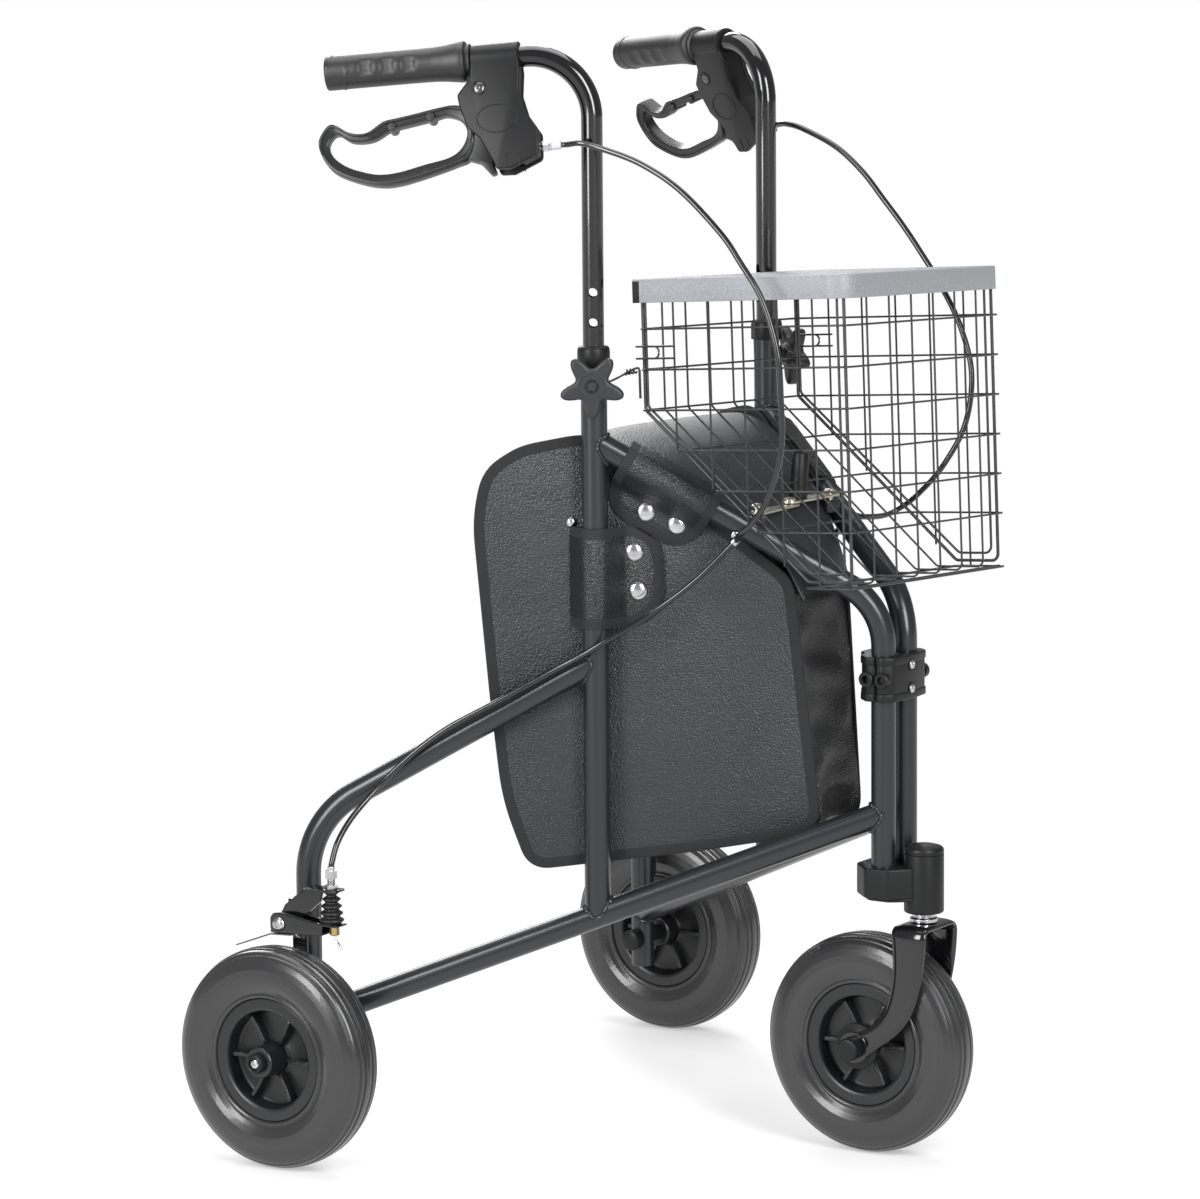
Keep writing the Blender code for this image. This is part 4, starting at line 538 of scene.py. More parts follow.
# %% Kinds of finish
def black_satin(name, colour, roughness, grain, depth, coat=0.0, worn=0.05, shine=0.5):
    """A dark finish whose roughness wanders a little, over a fine raised grain."""
    g = Graph(name, colour, roughness, coat=coat, shine=shine)
    g.bump(g.noise(grain, 2), depth)
    return g.look(roughness=roughness + (g.noise(60, 3) - 0.5) * worn)


def metal(name, colour, roughness, tint, grain=0.4):
    """Plated metal: a faint second colour in patches, and streaks in its roughness."""
    g = Graph(name, colour, roughness, metallic=1.0)
    g.bump(g.noise(grain, 2), 0.01)
    patches = g.noise(9, 3).over(0.35, 0.7)
    return g.look(base_color=patches.mix((*colour, 1), (*tint, 1)),
                  roughness=roughness + (g.noise(3, 3) - 0.5) * 0.12)


def vinyl(name, colour, roughness, wrinkle, pebble=2.1):
    """Embossed vinyl: rounded pebbles, with broad soft wrinkles and a slightly lighter bloom."""
    g = Graph(name, colour, roughness)
    grain = g.cells(pebble)
    fine = g.noise(0.7, 2)
    broad = g.noise(24, 2, 0.4)
    g.bump(fine * 0.12 - grain * 0.6 + broad * wrinkle, 1.0)
    bloom = g.noise(90, 2).over(0.3, 0.75)
    pale = tuple(1.25 * c + 0.004 for c in colour)
    return g.look(base_color=bloom.mix((*colour, 1), (*pale, 1)), roughness=roughness + grain * 0.1)


def twill(name, colour, pitch=1.5):
    """Woven tape: diagonal ribs from a sine of how far along plus how far round."""
    g = Graph(name, colour, 0.75)
    u, v = g.way()
    ribs = g.node("ShaderNodeMath", {"operation": "SINE"}, {0: (u + v) * (2000 * math.pi / pitch)})[0]
    cross = g.node("ShaderNodeMath", {"operation": "SINE"}, {0: (u - v) * (3100 * math.pi / pitch)})[0]
    g.bump(ribs * 0.5 + cross * 0.2, 0.22)
    # The rib crests are painted lighter than the grooves: a painted highlight on the crests and painted
    # shade in the grooves.
    pale = tuple(2.2 * c for c in colour)
    return g.look(base_color=ribs.over(-0.2, 1).mix((*colour, 1), (*pale, 1)))


def speckled(name, colour, dark, light):
    """Moulded grey plastic with fine dark and light flecks."""
    g = Graph(name, colour, 0.48)
    fleck = g.noise(0.9, 1, 0.6)
    shade = fleck.over(0.36, 0.48).mix((*dark, 1), (*colour, 1))
    g.bump(g.noise(0.7, 2), 0.05)
    return g.look(base_color=fleck.over(0.6, 0.68).mix(shade, (*light, 1)))


print("finishes: dark and grained, plated, vinyl, twill, speckled")

# %% [markdown]
# The walker is black on black, so its parts differ by sheen. Tubes have a satin powder
# coat with orange peel, the handle tubes are glossier, moulded plastic is matt with a
# fine grain, rubber is duller and greyer, and the bag is embossed vinyl. Bright zinc,
# steel and a speckled grey tray are the light parts.

# %% Finishes
tube_paint = black_satin("tube_paint", (0.012, 0.013, 0.0155), 0.28, 1.3, 0.02, coat=0.1)
gloss_paint = black_satin("gloss_paint", (0.004, 0.0042, 0.005), 0.13, 2.2, 0.006, coat=0.4)
wire_paint = black_satin("wire_paint", (0.02, 0.0205, 0.022), 0.35, 1.0, 0.01)
moulded = black_satin("moulded", (0.0085, 0.0088, 0.0095), 0.4, 0.5, 0.03, shine=0.24)
lever_plastic = black_satin("lever_plastic", (0.01, 0.0104, 0.0112), 0.34, 0.6, 0.02, shine=0.4)
knob_plastic = black_satin("knob_plastic", (0.014, 0.0145, 0.016), 0.44, 0.7, 0.04)
tyre_rubber = black_satin("tyre_rubber", (0.024, 0.0242, 0.0255), 0.26, 0.9, 0.06, coat=0.16, worn=0.16)
rim_plastic = black_satin("rim_plastic", (0.0075, 0.008, 0.009), 0.36, 0.9, 0.02)
grip_rubber = black_satin("grip_rubber", (0.012, 0.0122, 0.013), 0.42, 0.9, 0.1)
bellows_rubber = black_satin("bellows_rubber", (0.009, 0.009, 0.01), 0.4, 0.8, 0.03)
cable_skin = black_satin("cable_skin", (0.006, 0.0062, 0.007), 0.2, 2.5, 0.001, coat=0.4)
pale_sleeve = black_satin("pale_sleeve", (0.45, 0.46, 0.48), 0.4, 1.0, 0.02)
# Both tapes are twill whose rib crests are painted lighter: a painted highlight on the crests and
# painted shade in the grooves.
webbing = twill("webbing", (0.0065, 0.0068, 0.0078), 1.9)
binding = twill("binding", (0.0045, 0.0048, 0.0055), 1.5)
panel_vinyl = vinyl("panel_vinyl", (0.0095, 0.011, 0.0135), 0.31, 0.5, 1.7)
gusset_vinyl = vinyl("gusset_vinyl", (0.006, 0.0065, 0.0075), 0.27, 1.3, 1.6)
# The flap's vinyl is made lighter than the bag's other vinyl: a painted sheen on its domed top.
flap_vinyl = vinyl("flap_vinyl", (0.02, 0.022, 0.025), 0.36, 1.4, 1.6)
dark_steel = metal("dark_steel", (0.16, 0.16, 0.165), 0.28, (0.12, 0.12, 0.12))
bright_steel = metal("bright_steel", (0.62, 0.62, 0.63), 0.22, (0.5, 0.5, 0.51))
zinc = metal("zinc", (0.63, 0.63, 0.6), 0.3, (0.66, 0.58, 0.38))
brass = metal("brass", (0.62, 0.45, 0.2), 0.3, (0.55, 0.38, 0.16))
tray_plastic = speckled("tray_plastic", (0.23, 0.24, 0.255), (0.175, 0.182, 0.195), (0.3, 0.31, 0.325))
print(len(bpy.data.materials), "finishes")

# %% [markdown]
# Every joint of the tubes has a rippled weld bead. It is found as the curve where one tube
# meets the other.

# %% Weld beads
def weld(start, toward, radius, through, axis, other, width=2.1, steps=120):
    """Bead on a tube where it enters another. Each line of the tube's skin, p + s d, is met with the
    other's skin |(p + s d - through) x axis| = other, and a rippled ring is laid along those points."""
    start, toward, through = (np.asarray(v, float) for v in (start, toward, through))
    d, m = unit(toward - start), unit(np.asarray(axis, float))
    n1 = unit(np.cross(d, m))
    n2 = np.cross(d, n1)
    angle = 2 * math.pi * np.arange(steps) / steps
    radial = np.cos(angle)[:, None] * n1 + np.sin(angle)[:, None] * n2
    q = start + radius * radial - through
    q = q - (q @ m)[:, None] * m
    e = d - (d @ m) * m
    a, b, c = e @ e, 2 * q @ e, (q * q).sum(-1) - other**2
    s = (-b - np.sqrt(np.maximum(b * b - 4 * a * c, 0))) / (2 * a)
    ring = start + radius * radial + s[:, None] * d
    round_bead = circle(1.0, 10)
    size = width * (1 + 0.13 * np.cos(30 * angle))[:, None, None]
    section = round_bead[None, :, :1] * radial[:, None] + round_bead[None, :, 1:] * d
    return skin(ring[:, None] + size * section, endless=True)


print("a weld bead follows 120 points round its tube")

# %% [markdown]
# Each side frame is four bent steel tubes welded to one another. The front tube rises
# from the hinge block and bends back in a wide curve to the upright, the lower rail runs
# back and down, and the rear leg rises and bends forward into the upright.

# %% Side frames
RAIL, POST = 10.6, 11.1
upright_back, upright_high, leg_back = 242.4, 690, 489.0
front_corner, rail_front, leg_top = 475.4, 298.5, 428.6
front_slope = math.radians(29.86)
front_rise = math.tan(front_slope)
rail_fall, leg_fall = 0.36728, 0.5559
on_front_tube, on_rail, on_leg = 120, 100, 380


def rail_up(back):
    """Height of the lower rail's middle line at a distance back."""
    return rail_front - rail_fall * back


front_path = bent([(0, 0, 231), (0, 0, front_corner),
                   (0, upright_back, front_corner + upright_back * front_rise)], 60)
leg_path = bent([(0, leg_back, 68.6), (0, leg_back, 291.5), (0, upright_back, leg_top)], 80)
post_low = rail_up(upright_back)
pair("front_tube", "{s}_frame", tube_paint, [
    tube(front_path, RAIL),
    weld((0, on_front_tube, front_corner + on_front_tube * front_rise), front_path[-1], RAIL,
         (0, upright_back, 0), UP, POST),
], ["{s}_front_tube"], place=to_frame)
pair("upright", "{s}_frame", tube_paint, [
    tube([(0, upright_back, post_low), (0, upright_back, 500), (0, upright_back, upright_high)], POST),
    weld((0, upright_back, 400), (0, upright_back, 200), POST, (0, 0, rail_front), (0, 1, -rail_fall),
         RAIL),
], ["{s}_upright"], place=to_frame)
pair("lower_rail", "{s}_frame", tube_paint, [
    tube([(0, 0, rail_front), (0, upright_back, post_low), (0, leg_back, rail_up(leg_back))], RAIL),
    weld((0, on_rail, rail_up(on_rail)), (0, 0, rail_front), RAIL, (0, 0, 0), UP, RAIL + 0.1),
    weld((0, on_leg, rail_up(on_leg)), (0, leg_back, rail_up(leg_back)), RAIL, (0, leg_back, 0), UP,
         RAIL + 0.1),
], ["{s}_lower_rail"], place=to_frame)
pair("rear_leg", "{s}_frame", tube_paint, [
    tube(leg_path, RAIL),
    weld((0, on_leg, leg_top - (on_leg - upright_back) * leg_fall), (0, upright_back, leg_top), RAIL,
         (0, upright_back, 0), UP, POST),
], ["{s}_rear_leg"], place=to_frame)
print("front tube length in mm:", round(np.linalg.norm(np.diff(front_path, axis=0), axis=1).sum()))

# %% [markdown]
# A black plastic collar caps each upright, and the handle tube slides in it.

# %% Collars
collar_profile = [(11.3, 678.2), (13.6, 678.2), (13.8, 679), (13.8, 690.6), (13.5, 692.8), (12.7, 694.4),
                  (11.4, 695.3), (9.15, 695.4), (9.15, 690.2), (11.3, 690.2)]
collar_place = (0, upright_back, 0)
pair("collar", "{s}_frame", moulded, [turned(collar_profile, collar_place, UP, hollow=True)],
     ["{s}_collar"], place=to_frame)
print("collars top out at", max(up for _, up in collar_profile), "mm")

# %% [markdown]
# Under each collar a lobed hand knob clamps the handle tube in one of its height holes.
# It is a five-lobed disc with a boss, a recessed centre and soft edges.

# %% Knobs
arm = 0.5 + 0.5 * np.cos(5 * np.linspace(0, 2 * math.pi, 150, endpoint=False))
lobes = circle(1.0, 150) @ np.array([[0, -1], [1, 0]]) * (14.6 + 13.0 * arm**1.25)[:, None]
knob_high = 664
knob_centre = (0, upright_back, knob_high)
on_knob = seat(knob_centre, (0, 1, 0), UP, (1, 0, 0))
pair("knob", "{s}_knob_body", knob_plastic, [
    plate(lobes, 20.2, 30.6, on_knob, edge=3.0, steps=6),
    turned([(6.2, 11.4), (8, 12.2), (8.0, 17), (10.5, 20.6)], knob_centre, (1, 0, 0), edge=0.8),
    turned([(12.2, 28), (12.2, 30.9), (11.8, 31), (10.6, 31), (10, 30.3), (9.2, 30.2), (6.4, 30.2),
            (6.1, 30.6), (3.6, 30.6), (3.3, 30.2), (0.5, 30.2)], knob_centre, (1, 0, 0)),
], ["{s}_knob"], place=to_frame)
print("knob lobes reach", round(np.linalg.norm(lobes, axis=1).max(), 1), "mm")

# %% [markdown]
# The wheels are solid moulded tyres on plastic rims. A tyre has a flat tread with four
# grooves, a stepped shoulder, a domed wall and a raised ring at the rim. A rim has a
# deep well on each side, a thin closed web, six ribs and a stepped hub.

# %% Wheel profiles
tyre_half = [(95.1, 0.05), (95.1, 3.7), (93.3, 4.2), (93.3, 5.5), (94.8, 6.0), (94.4, 9.4), (92.5, 9.9),
             (92.5, 11.2), (93.5, 11.7), (92.4, 14.2), (91.5, 15.6), (90.1, 16.0), (89.4, 17.6),
             (87.4, 19.2), (83.5, 21.2), (78.5, 22.5), (72.35, 22.9), (66.5, 22.3), (61.5, 20.4),
             (58.2, 18.2), (57.2, 17.9), (56.5, 18.7), (55.0, 18.9), (53.6, 18.0), (53.0, 16.4)]
rim_half = [(52.7, 0.05), (52.7, 16.6), (52.2, 17.0), (44.5, 17.0), (42.6, 16.2), (41.6, 14.4),
            (40.6, 3.4), (39, 2.2), (30, 1.5), (22, 2.0), (16, 3.2), (13.6, 5)]


def there_and_back(outer, inner):
    """Closed profile: outer as it is, then inner from its end to its start with its x turned over."""
    return np.concatenate([outer, np.array(inner)[::-1] * (1, -1)])


print("tyre and rim profiles have", len(tyre_half), "and", len(rim_half), "points")

# %% [markdown]
# Both kinds of wheel come from one function, since they differ only in the length of the
# hub on each side.

# %% Wheels
def wheel(hub_inner, hub_outer, rib_high=11.0):
    """Tyre and rim about the origin with the axle along x; hub ends at x = -inner and x = outer."""
    tyre = turned(there_and_back(tyre_half, tyre_half), axis=(1, 0, 0), sides=128, hollow=True, edge=0.7)
    outer = rim_half + [(13.5, 12), (13.3, hub_outer - 1.4), (12.4, hub_outer), (4.2, hub_outer)]
    inner = rim_half + [(13.6, 12), (13.6, hub_inner - 2), (12, hub_inner), (4.2, hub_inner)]
    rim = [turned(there_and_back(outer, inner), axis=(1, 0, 0), sides=96, hollow=True, edge=0.8)]
    for k in range(6):
        turn = math.radians(60 * k)
        out = (0, math.cos(turn), math.sin(turn))
        flank = (0, -math.sin(turn), math.cos(turn))
        shape = [(12, -rib_high), (30, -rib_high), (41.2, -13.4), (41.2, 13.4), (30, rib_high),
                 (12, rib_high)]
        rim.append(plate(eased(shape, 6), -1.8, 1.8, seat((0, 0, 0), out, (1, 0, 0), flank), edge=0.7))
    return tyre, rim


rear_tyre, rear_rim = wheel(23.0, 28.8)
pair("rear_tyre", "{s}_wheel", tyre_rubber, [rear_tyre], ["{s}_rear_tyre"],
     place=to_wheel)
pair("rear_rim", "{s}_wheel", rim_plastic, rear_rim, ["{s}_rear_rim"], place=to_wheel)
front_tyre, front_rim = wheel(23.0, 23.0)
to_front_wheel = seat((0, axle_y, AXLE_HIGH), *LEVEL)
piece("front_tyre", "front_wheel", tyre_rubber, [front_tyre], ["front_tyre"],
      place=to_front_wheel)
piece("front_rim", "front_wheel", rim_plastic, front_rim, ["front_rim"],
      place=to_front_wheel)
print("a tyre has", len(rear_tyre["points"]), "points")

# %% [markdown]
# The fork is bent from a flat bar whose width changes along it, with soft edges.

# %% A bar bent into a U
def strap(line, front, back, half, edge, steps=8):
    """Rounded bar of 2 half thick carried along a line in x and z; at each point it spans y from
    front to back. A quarter ellipse rounds each corner, edge in thickness and 3/4 of the half width."""
    line = np.asarray(line, float)
    ahead = directions(line)
    normal = np.cross(ahead, (0.0, 1.0, 0.0))
    wide = np.maximum((back - front) / 2, edge + 0.05)
    quarter = np.linspace(0, math.pi / 2, steps)
    angle = np.concatenate([quarter + k * math.pi / 2 for k in range(4)])
    sign_y = np.repeat([1, -1, -1, 1], steps)
    sign_n = np.repeat([1, 1, -1, -1], steps)
    soft = np.maximum(0.75 * wide, edge)[:, None]
    across = sign_y * (wide[:, None] - soft) + soft * np.cos(angle)
    through = np.broadcast_to(sign_n * (half - edge) + edge * np.sin(angle), across.shape)
    to_back = np.array([0.0, 1.0, 0.0])
    centre = line + to_back * ((front + back) / 2)[:, None]
    return skin(centre[:, None] + across[..., None] * to_back + through[..., None] * normal[:, None])


print("a bar is rounded by quarter ellipses")

# %% [markdown]
# The caster fork is one steel strap pressed into a U. Its legs swing back from the crown
# to the axle and end round. It is carried up one leg, over the crown and down the other,
# while its front and back edges follow the side view.

# %% Fork
fork_corners = [(27.4, 0, 83.4), (27.4, 0, 201.9), (-27.4, 0, 201.9), (-27.4, 0, 83.4)]
fork_line = evenly(bent(fork_corners, 7.5), 1.6)
front_edge = flowing([(83.3, 51.8), (84.6, 46), (88.2, 40), (93, 33.5), (98, 27), (104, 18.5), (112, 9),
                      (122, 0.5), (133, -5.5), (146, -10), (160, -13.2), (175, -15.4), (190, -16.6),
                      (205, -17)])
back_edge = flowing([(83.3, 52.2), (84.6, 57), (88.2, 61.7), (95.25, 64), (101, 62.4), (105, 57.5),
                     (107.5, 51), (112, 41), (119, 31), (128, 23.5), (140, 18.6), (155, 15.4),
                     (172, 14.4), (190, 15.2), (205, 17)])
fork_front = np.interp(fork_line[:, 2], front_edge[:, 0], front_edge[:, 1])
fork_back = np.interp(fork_line[:, 2], back_edge[:, 0], back_edge[:, 1])
to_stem = seat((0, stem_y, 0), *LEVEL)
piece("caster_fork", "caster", gloss_paint, [strap(fork_line, fork_front, fork_back, 3.1, 2.7)],
      ["caster_fork"], place=to_stem)
print("fork leg and crown line:", len(fork_line), "points")

# %% [markdown]
# The front axle has a boss, a cap and a spacer on each side, and the stem turns in the
# housing above the crown.

# %% Front axle and stem
front_hub = (0, 52, AXLE_HIGH)
cap_out = [(3, 30.6), (9.6, 30.9), (10, 31.6), (10, 41), (9.2, 42.4), (7.6, 42.8), (0.6, 42.8)]
piece("fork_bosses", "caster", gloss_paint, [
    turned([(14, 30.2), (13.4, 31), (9, 31.2)], front_hub, (side, 0, 0)) for side in (1, -1)
], place=to_stem)
spacer = [(4, 22), (19.5, 22.4), (19.9, 23.4), (19.4, 24.2), (9, 25.4), (8, 26.2)]
axle_parts = [turned(cap_out, front_hub, (side, 0, 0), edge=0.5) for side in (1, -1)]
axle_parts += [turned(spacer, front_hub, (side, 0, 0)) for side in (1, -1)]
piece("axle_caps", "caster", moulded, axle_parts, ["front_axle"], place=to_stem)
piece("caster_stem", "caster", bright_steel, [
    turned([(0.5, 205.1), (11.4, 205.1), (12, 205.8), (12, 208.4), (11.4, 209), (9.6, 209.4),
            (9.6, 212.6), (6, 212.9), (6, 258), (9, 258.2), (9, 262)], edge=0.4),
    turned([(0.5, 196.4), (5, 197), (8, 199.2), (8.5, 200.9), (3, 200.9)], edge=0.6),
], ["caster_stem"], place=to_stem)
print("the front axle ends at", cap_out[-1][1], "mm out")

# %% [markdown]
# The hinge block is a plastic moulding that carries both front tubes and, ahead of them,
# the barrel of the caster bearing under a domed cap.

# %% Hinge block
to_hinge = seat((0, hinge_y, 0), *LEVEL)
block_shape = eased([(-17, -29), (17, -29), (34, -12), (34, 10), (16, 28), (-16, 28), (-34, 10),
                     (-34, -12)], 9, steps=7)
block_low = eased([(-16.4, -29), (16.4, -29), (30, -12), (30, 8), (14, 24), (-14, 24), (-30, 8),
                   (-30, -12)], 9)
piece("hinge_block", "centre", moulded, [
    plate(block_shape, 227, 253, to_hinge, edge=1.6, steps=5),
    plate(block_low, 224.4, 227.6, to_hinge, edge=0.8),
    turned([(12.4, 213.4), (15.6, 213.4), (16.6, 214), (17, 215), (17, 263.6), (15.4, 264)],
           (0, stem_y, 0), UP, edge=0.4),
    turned([(0.5, 212.9), (12.6, 212.9), (13.2, 213.5)], (0, stem_y, 0), UP),
], ["hinge_block"])
piece("housing_cap", "centre", moulded, [
    turned([(16.9, 264.2), (17, 264.7), (17, 267), (16.4, 268.8), (14.6, 270.2), (10, 271.5), (5, 271.9),
            (0.4, 272)], (0, stem_y, 0), UP, edge=0.7),
], ["housing_cap"])
print("hinge block spans", round(np.ptp(block_shape[:, 0])), "mm")

# %% [markdown]
# Higher up, a two-part plastic clamp holds the front tubes together, drawn up by screws
# in shallow pockets.

# %% Tube clamp
def screw(origin, axis, radius, high):
    """Domed screw head with a round driver recess."""
    dome = [(radius * 0.98, 0), (radius, high * 0.35), (radius * 0.86, high * 0.75),
            (radius * 0.55, high), (radius * 0.4, high), (radius * 0.3, high * 0.45), (0.2, high * 0.4)]
    return turned(dome, origin, axis, sides=24)


clamp_wide = 33.8
screw_levels = (404.2, 424.6)
rear_half = eased([(-clamp_wide, 0.35), (clamp_wide, 0.35), (clamp_wide, 9), (25.8, 18), (12, 22),
                   (7, 29), (-7, 29), (-12, 22), (-25.8, 18), (-clamp_wide, 9)], 4.5, steps=5)
front_half = eased([(-clamp_wide, 0.35), (clamp_wide, 0.35), (clamp_wide, 8), (27.5, 15.5), (9, 17.6),
                    (-9, 17.6), (-27.5, 15.5), (-clamp_wide, 8)], 6, steps=5)
rear_clamp = rear_half + (0, hinge_y)
front_clamp = front_half * (1, -1) + (0, hinge_y)


def clamp_half(shape, way):
    """Clamp body with a raised rim at both ends and a pocket boss at each end of it."""
    middle = np.array([0, hinge_y])
    thin = (shape - middle) * (0.97, 0.96) + middle
    parts = [plate(shape, 395.4, 402.4, in_place, edge=1.2), plate(thin, 401, 427.6, in_place, edge=0.4),
             plate(shape, 426.4, 433.4, in_place, edge=1.2)]
    for level in screw_levels:
        parts.append(turned([(5.6, 10), (5.6, 17.4), (5, 18), (4.2, 18), (4.0, 17)],
                            (0, hinge_y, level), (0, way, 0), sides=32))
    for side in (1, -1):
        parts.append(turned([(6.6, 30), (6.6, 35.6), (5.8, 36.4), (3.6, 36.4), (3.2, 35), (3.2, 31),
                             (0.3, 31)], (0, hinge_y + way * 7.5, 414.4), (side, 0, 0), sides=32))
    return parts


piece("clamp_front", "centre", moulded, clamp_half(front_clamp, -1), ["clamp_front"])
piece("clamp_rear", "centre", moulded, clamp_half(rear_clamp, 1), ["clamp_rear"])
clamp_screws = [screw((0, hinge_y + way * rest, level), (0, way, 0), 3.8, 1.5)
                for way, rest in ((-1, 17.3), (1, 28.6)) for level in screw_levels]
piece("clamp_screws", "centre", bright_steel, clamp_screws)
print(len(clamp_screws), "clamp screws")

# %% [markdown]
# At each rear wheel a bracket on the leg carries the brake. Two bolts with round heads
# hold it, and a stouter one is the arm's pin.

# %% Brake brackets
def side_plate(outline, x_low, x_high, edge=0.5, radius=4):
    """Plate upright in the mount frame: an outline in (back, up) between two x levels."""
    return plate(eased(outline, radius), x_low, x_high, seat((0, 0, 0), (0, 1, 0), UP, (1, 0, 0)),
                 edge=edge)


pair("brake_bracket", "{s}_frame", gloss_paint, [
    side_plate([(-42, 242), (-39, 231), (-16, 212), (-5.5, 204.4), (3.5, 204.6), (6, 210), (-2, 225),
                (-24, 242)], 34.6, 37.4, radius=3),
    plate(eased([(27.2, -58.8), (44.8, -58.8), (44.8, -26.2), (27.2, -26.2)], 3), 241.0, 243.0, in_place,
          edge=0.5),
    plate(eased([(2.4, -11), (36, -11), (36, -4), (2.4, -4)], 1.5), 220.5, 230.4, in_place, edge=0.8),
    side_plate([(-7, 152), (8, 152), (8, 204), (-7, 204)], 10.9, 13.6, radius=3),
], ["{s}_brake_bracket"], place=to_mount)
pair("brake_bolts", "{s}_frame", bright_steel, [
    turned([(5.9, 44.2), (6.0, 44.8), (5.2, 46.2), (3.2, 47.2), (2.6, 47.2), (2.2, 46.2), (0.2, 46)],
           (0, -0.5, 209), (1, 0, 0), sides=24),
    screw((13.5, 0.5, 196), (1, 0, 0), 4.2, 2.0), screw((13.5, 0.5, 166), (1, 0, 0), 4.2, 2.0),
], place=to_mount)
print("brackets stand on the legs at", np.round(to_mount([0, 0, AXLE_HIGH])))

# %% [markdown]
# A threaded adjuster with two nuts stops the cable's sheath, and a rubber bellows covers
# the bare wire below it. Each bellows gets a mesh of its own.

# %% Adjusters and bellows
adjuster_spot = (36, -50, 0)
pair("brake_adjuster", "{s}_frame", bright_steel, [
    turned([(2.6, 241.2), (5.4, 243.2), (5.4, 246.6), (3.4, 246.8)], adjuster_spot, UP, sides=6),
    turned([(3.2, 246), (3.4, 246.8), (3.0, 247.3), (3.4, 247.9), (3.0, 248.4), (3.4, 249), (3.0, 249.5),
            (3.4, 250.1), (3.0, 250.6), (3.4, 251.2), (3.1, 252)], adjuster_spot, UP, sides=24),
    turned([(3.2, 251.8), (5.0, 252.2), (5.0, 258.8), (3.4, 259.2)], adjuster_spot, UP, sides=6),
    turned([(3.2, 258.8), (3.2, 262), (2.7, 262.4)], adjuster_spot, UP, sides=24),
], ["{s}_brake_adjuster"], place=to_mount)
fold_z = np.linspace(0, 1, 90)
bellows_radius = 5.0 + 4.5 * (1 - fold_z) ** 0.8 + 1.5 * np.cos(2 * math.pi * 4.5 * fold_z + math.pi)
bellows_low, bellows_tall = 213.8, 26.8
bellows_profile = np.stack([np.maximum(bellows_radius, 3.6), bellows_low + bellows_tall * fold_z], -1)
bellows_skin = turned(bellows_profile, adjuster_spot, UP, sides=40)
held = to_mount([*adjuster_spot[:2], bellows_low + bellows_tall]) * MM
for made in pair("bellows", "{s}_frame", bellows_rubber, [bellows_skin], ["{s}_bellows"],
                 crisp=80, place=to_mount):
    side = made.name.split("_")[0]
    held * (SIDES[side], 1, 1)
    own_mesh(made)
print("bellows folds from", round(bellows_radius.min(), 1), "to", round(bellows_radius.max(), 1), "mm")

# %% [markdown]
# The cable pulls the arm up, and the arm presses a spring blade on the tyre. A nut at
# the arm holds the wire, whose bare end hangs free.

# %% Brake arms
arm_side = [(9, 201.0), (9, 214), (6, 218), (0, 219), (-8, 219), (-42, 213.5), (-60, 213.5),
            (-60, 211.6), (-44, 211.6), (-44, 204.4), (-40, 203.2)]
blade_edge = [(-12, 201.2), (9.5, 200.2), (40, 188.8), (46, 186.6), (46, 185.4), (40, 187.5),
              (9.5, 198.9), (-12, 199.9)]
pair("brake_arm", "{s}_brake", gloss_paint, [
    side_plate(arm_side, 41.6, 43.7, radius=4), side_plate(arm_side, 28.3, 30.4, radius=4),
    side_plate([(8.9, 201.2), (-44, 203.2), (-44, 205), (8.9, 203)], 28.4, 43.6, edge=0.3, radius=0.5),
    side_plate([(-42, 213.4), (-60, 213.4), (-60, 211.7), (-42, 211.7)], 28.4, 43.6, edge=0.3,
               radius=0.5),
], ["{s}_brake_arm"], place=to_mount)
pair("brake_blade", "{s}_brake", dark_steel, [side_plate(blade_edge, 28.8, 43.2, edge=0.2, radius=2)],
     ["{s}_brake_blade"], crisp=25, place=to_mount)
tail_points = [(36, -52.7, 210), (36, -53.4, 203), (36.4, -55.5, 199), (37.5, -59, 196),
               (38.6, -62, 192.5)]
wire_tail = evenly(flowing(tail_points), 1.0)
pair("brake_wire_nut", "{s}_brake", brass, [
    turned([(3.4, 203.6), (4.2, 204.2), (4.2, 210.6), (2, 211.2)], (36, -52.7, 0), UP, sides=6),
], place=to_mount)
pair("brake_wire_tail", "{s}_brake", bright_steel, [tube(wire_tail, 0.75, sides=10)],
     place=to_mount)
print("a bare wire end is", round(np.linalg.norm(np.diff(wire_tail, axis=0), axis=1).sum()), "mm long")

# %% [markdown]
# A stub axle ends in a stepped cap on the inner side and in a collar and a screw on the
# outer side.

# %% Rear axles
hub = (0, 0, AXLE_HIGH)
pair("rear_axle", "{s}_frame", moulded, [
    turned([(0.5, -23.8), (7.4, -23.8), (9.2, -22.6), (9.5, -21.6), (9.5, -11.2), (4, -11)], hub,
           (1, 0, 0)),
    turned([(4, 11), (7, 11), (7, 23.4), (4, 23.4)], hub, (1, 0, 0), edge=0.4),
    turned([(4, 76.1), (8.2, 76.2), (8.5, 76.8), (8.5, 80.6), (7.6, 82.2), (6.3, 82.7), (5.5, 82.2),
            (5.2, 80.6), (0.3, 80.4)], hub, (1, 0, 0)),
], ["{s}_rear_axle"], place=to_mount)
pair("rear_axle_screw", "{s}_frame", bright_steel, [
    screw((80.2, 0, AXLE_HIGH), (1, 0, 0), 4.3, 2.0),
], place=to_mount)
print("rear axles lie", AXLE_HIGH, "mm above the floor")

# %% [markdown]
# The height holes of the handle tubes are real openings. The skin's grid is squeezed round
# each hole, so that a square of the grid becomes the hole's round rim.

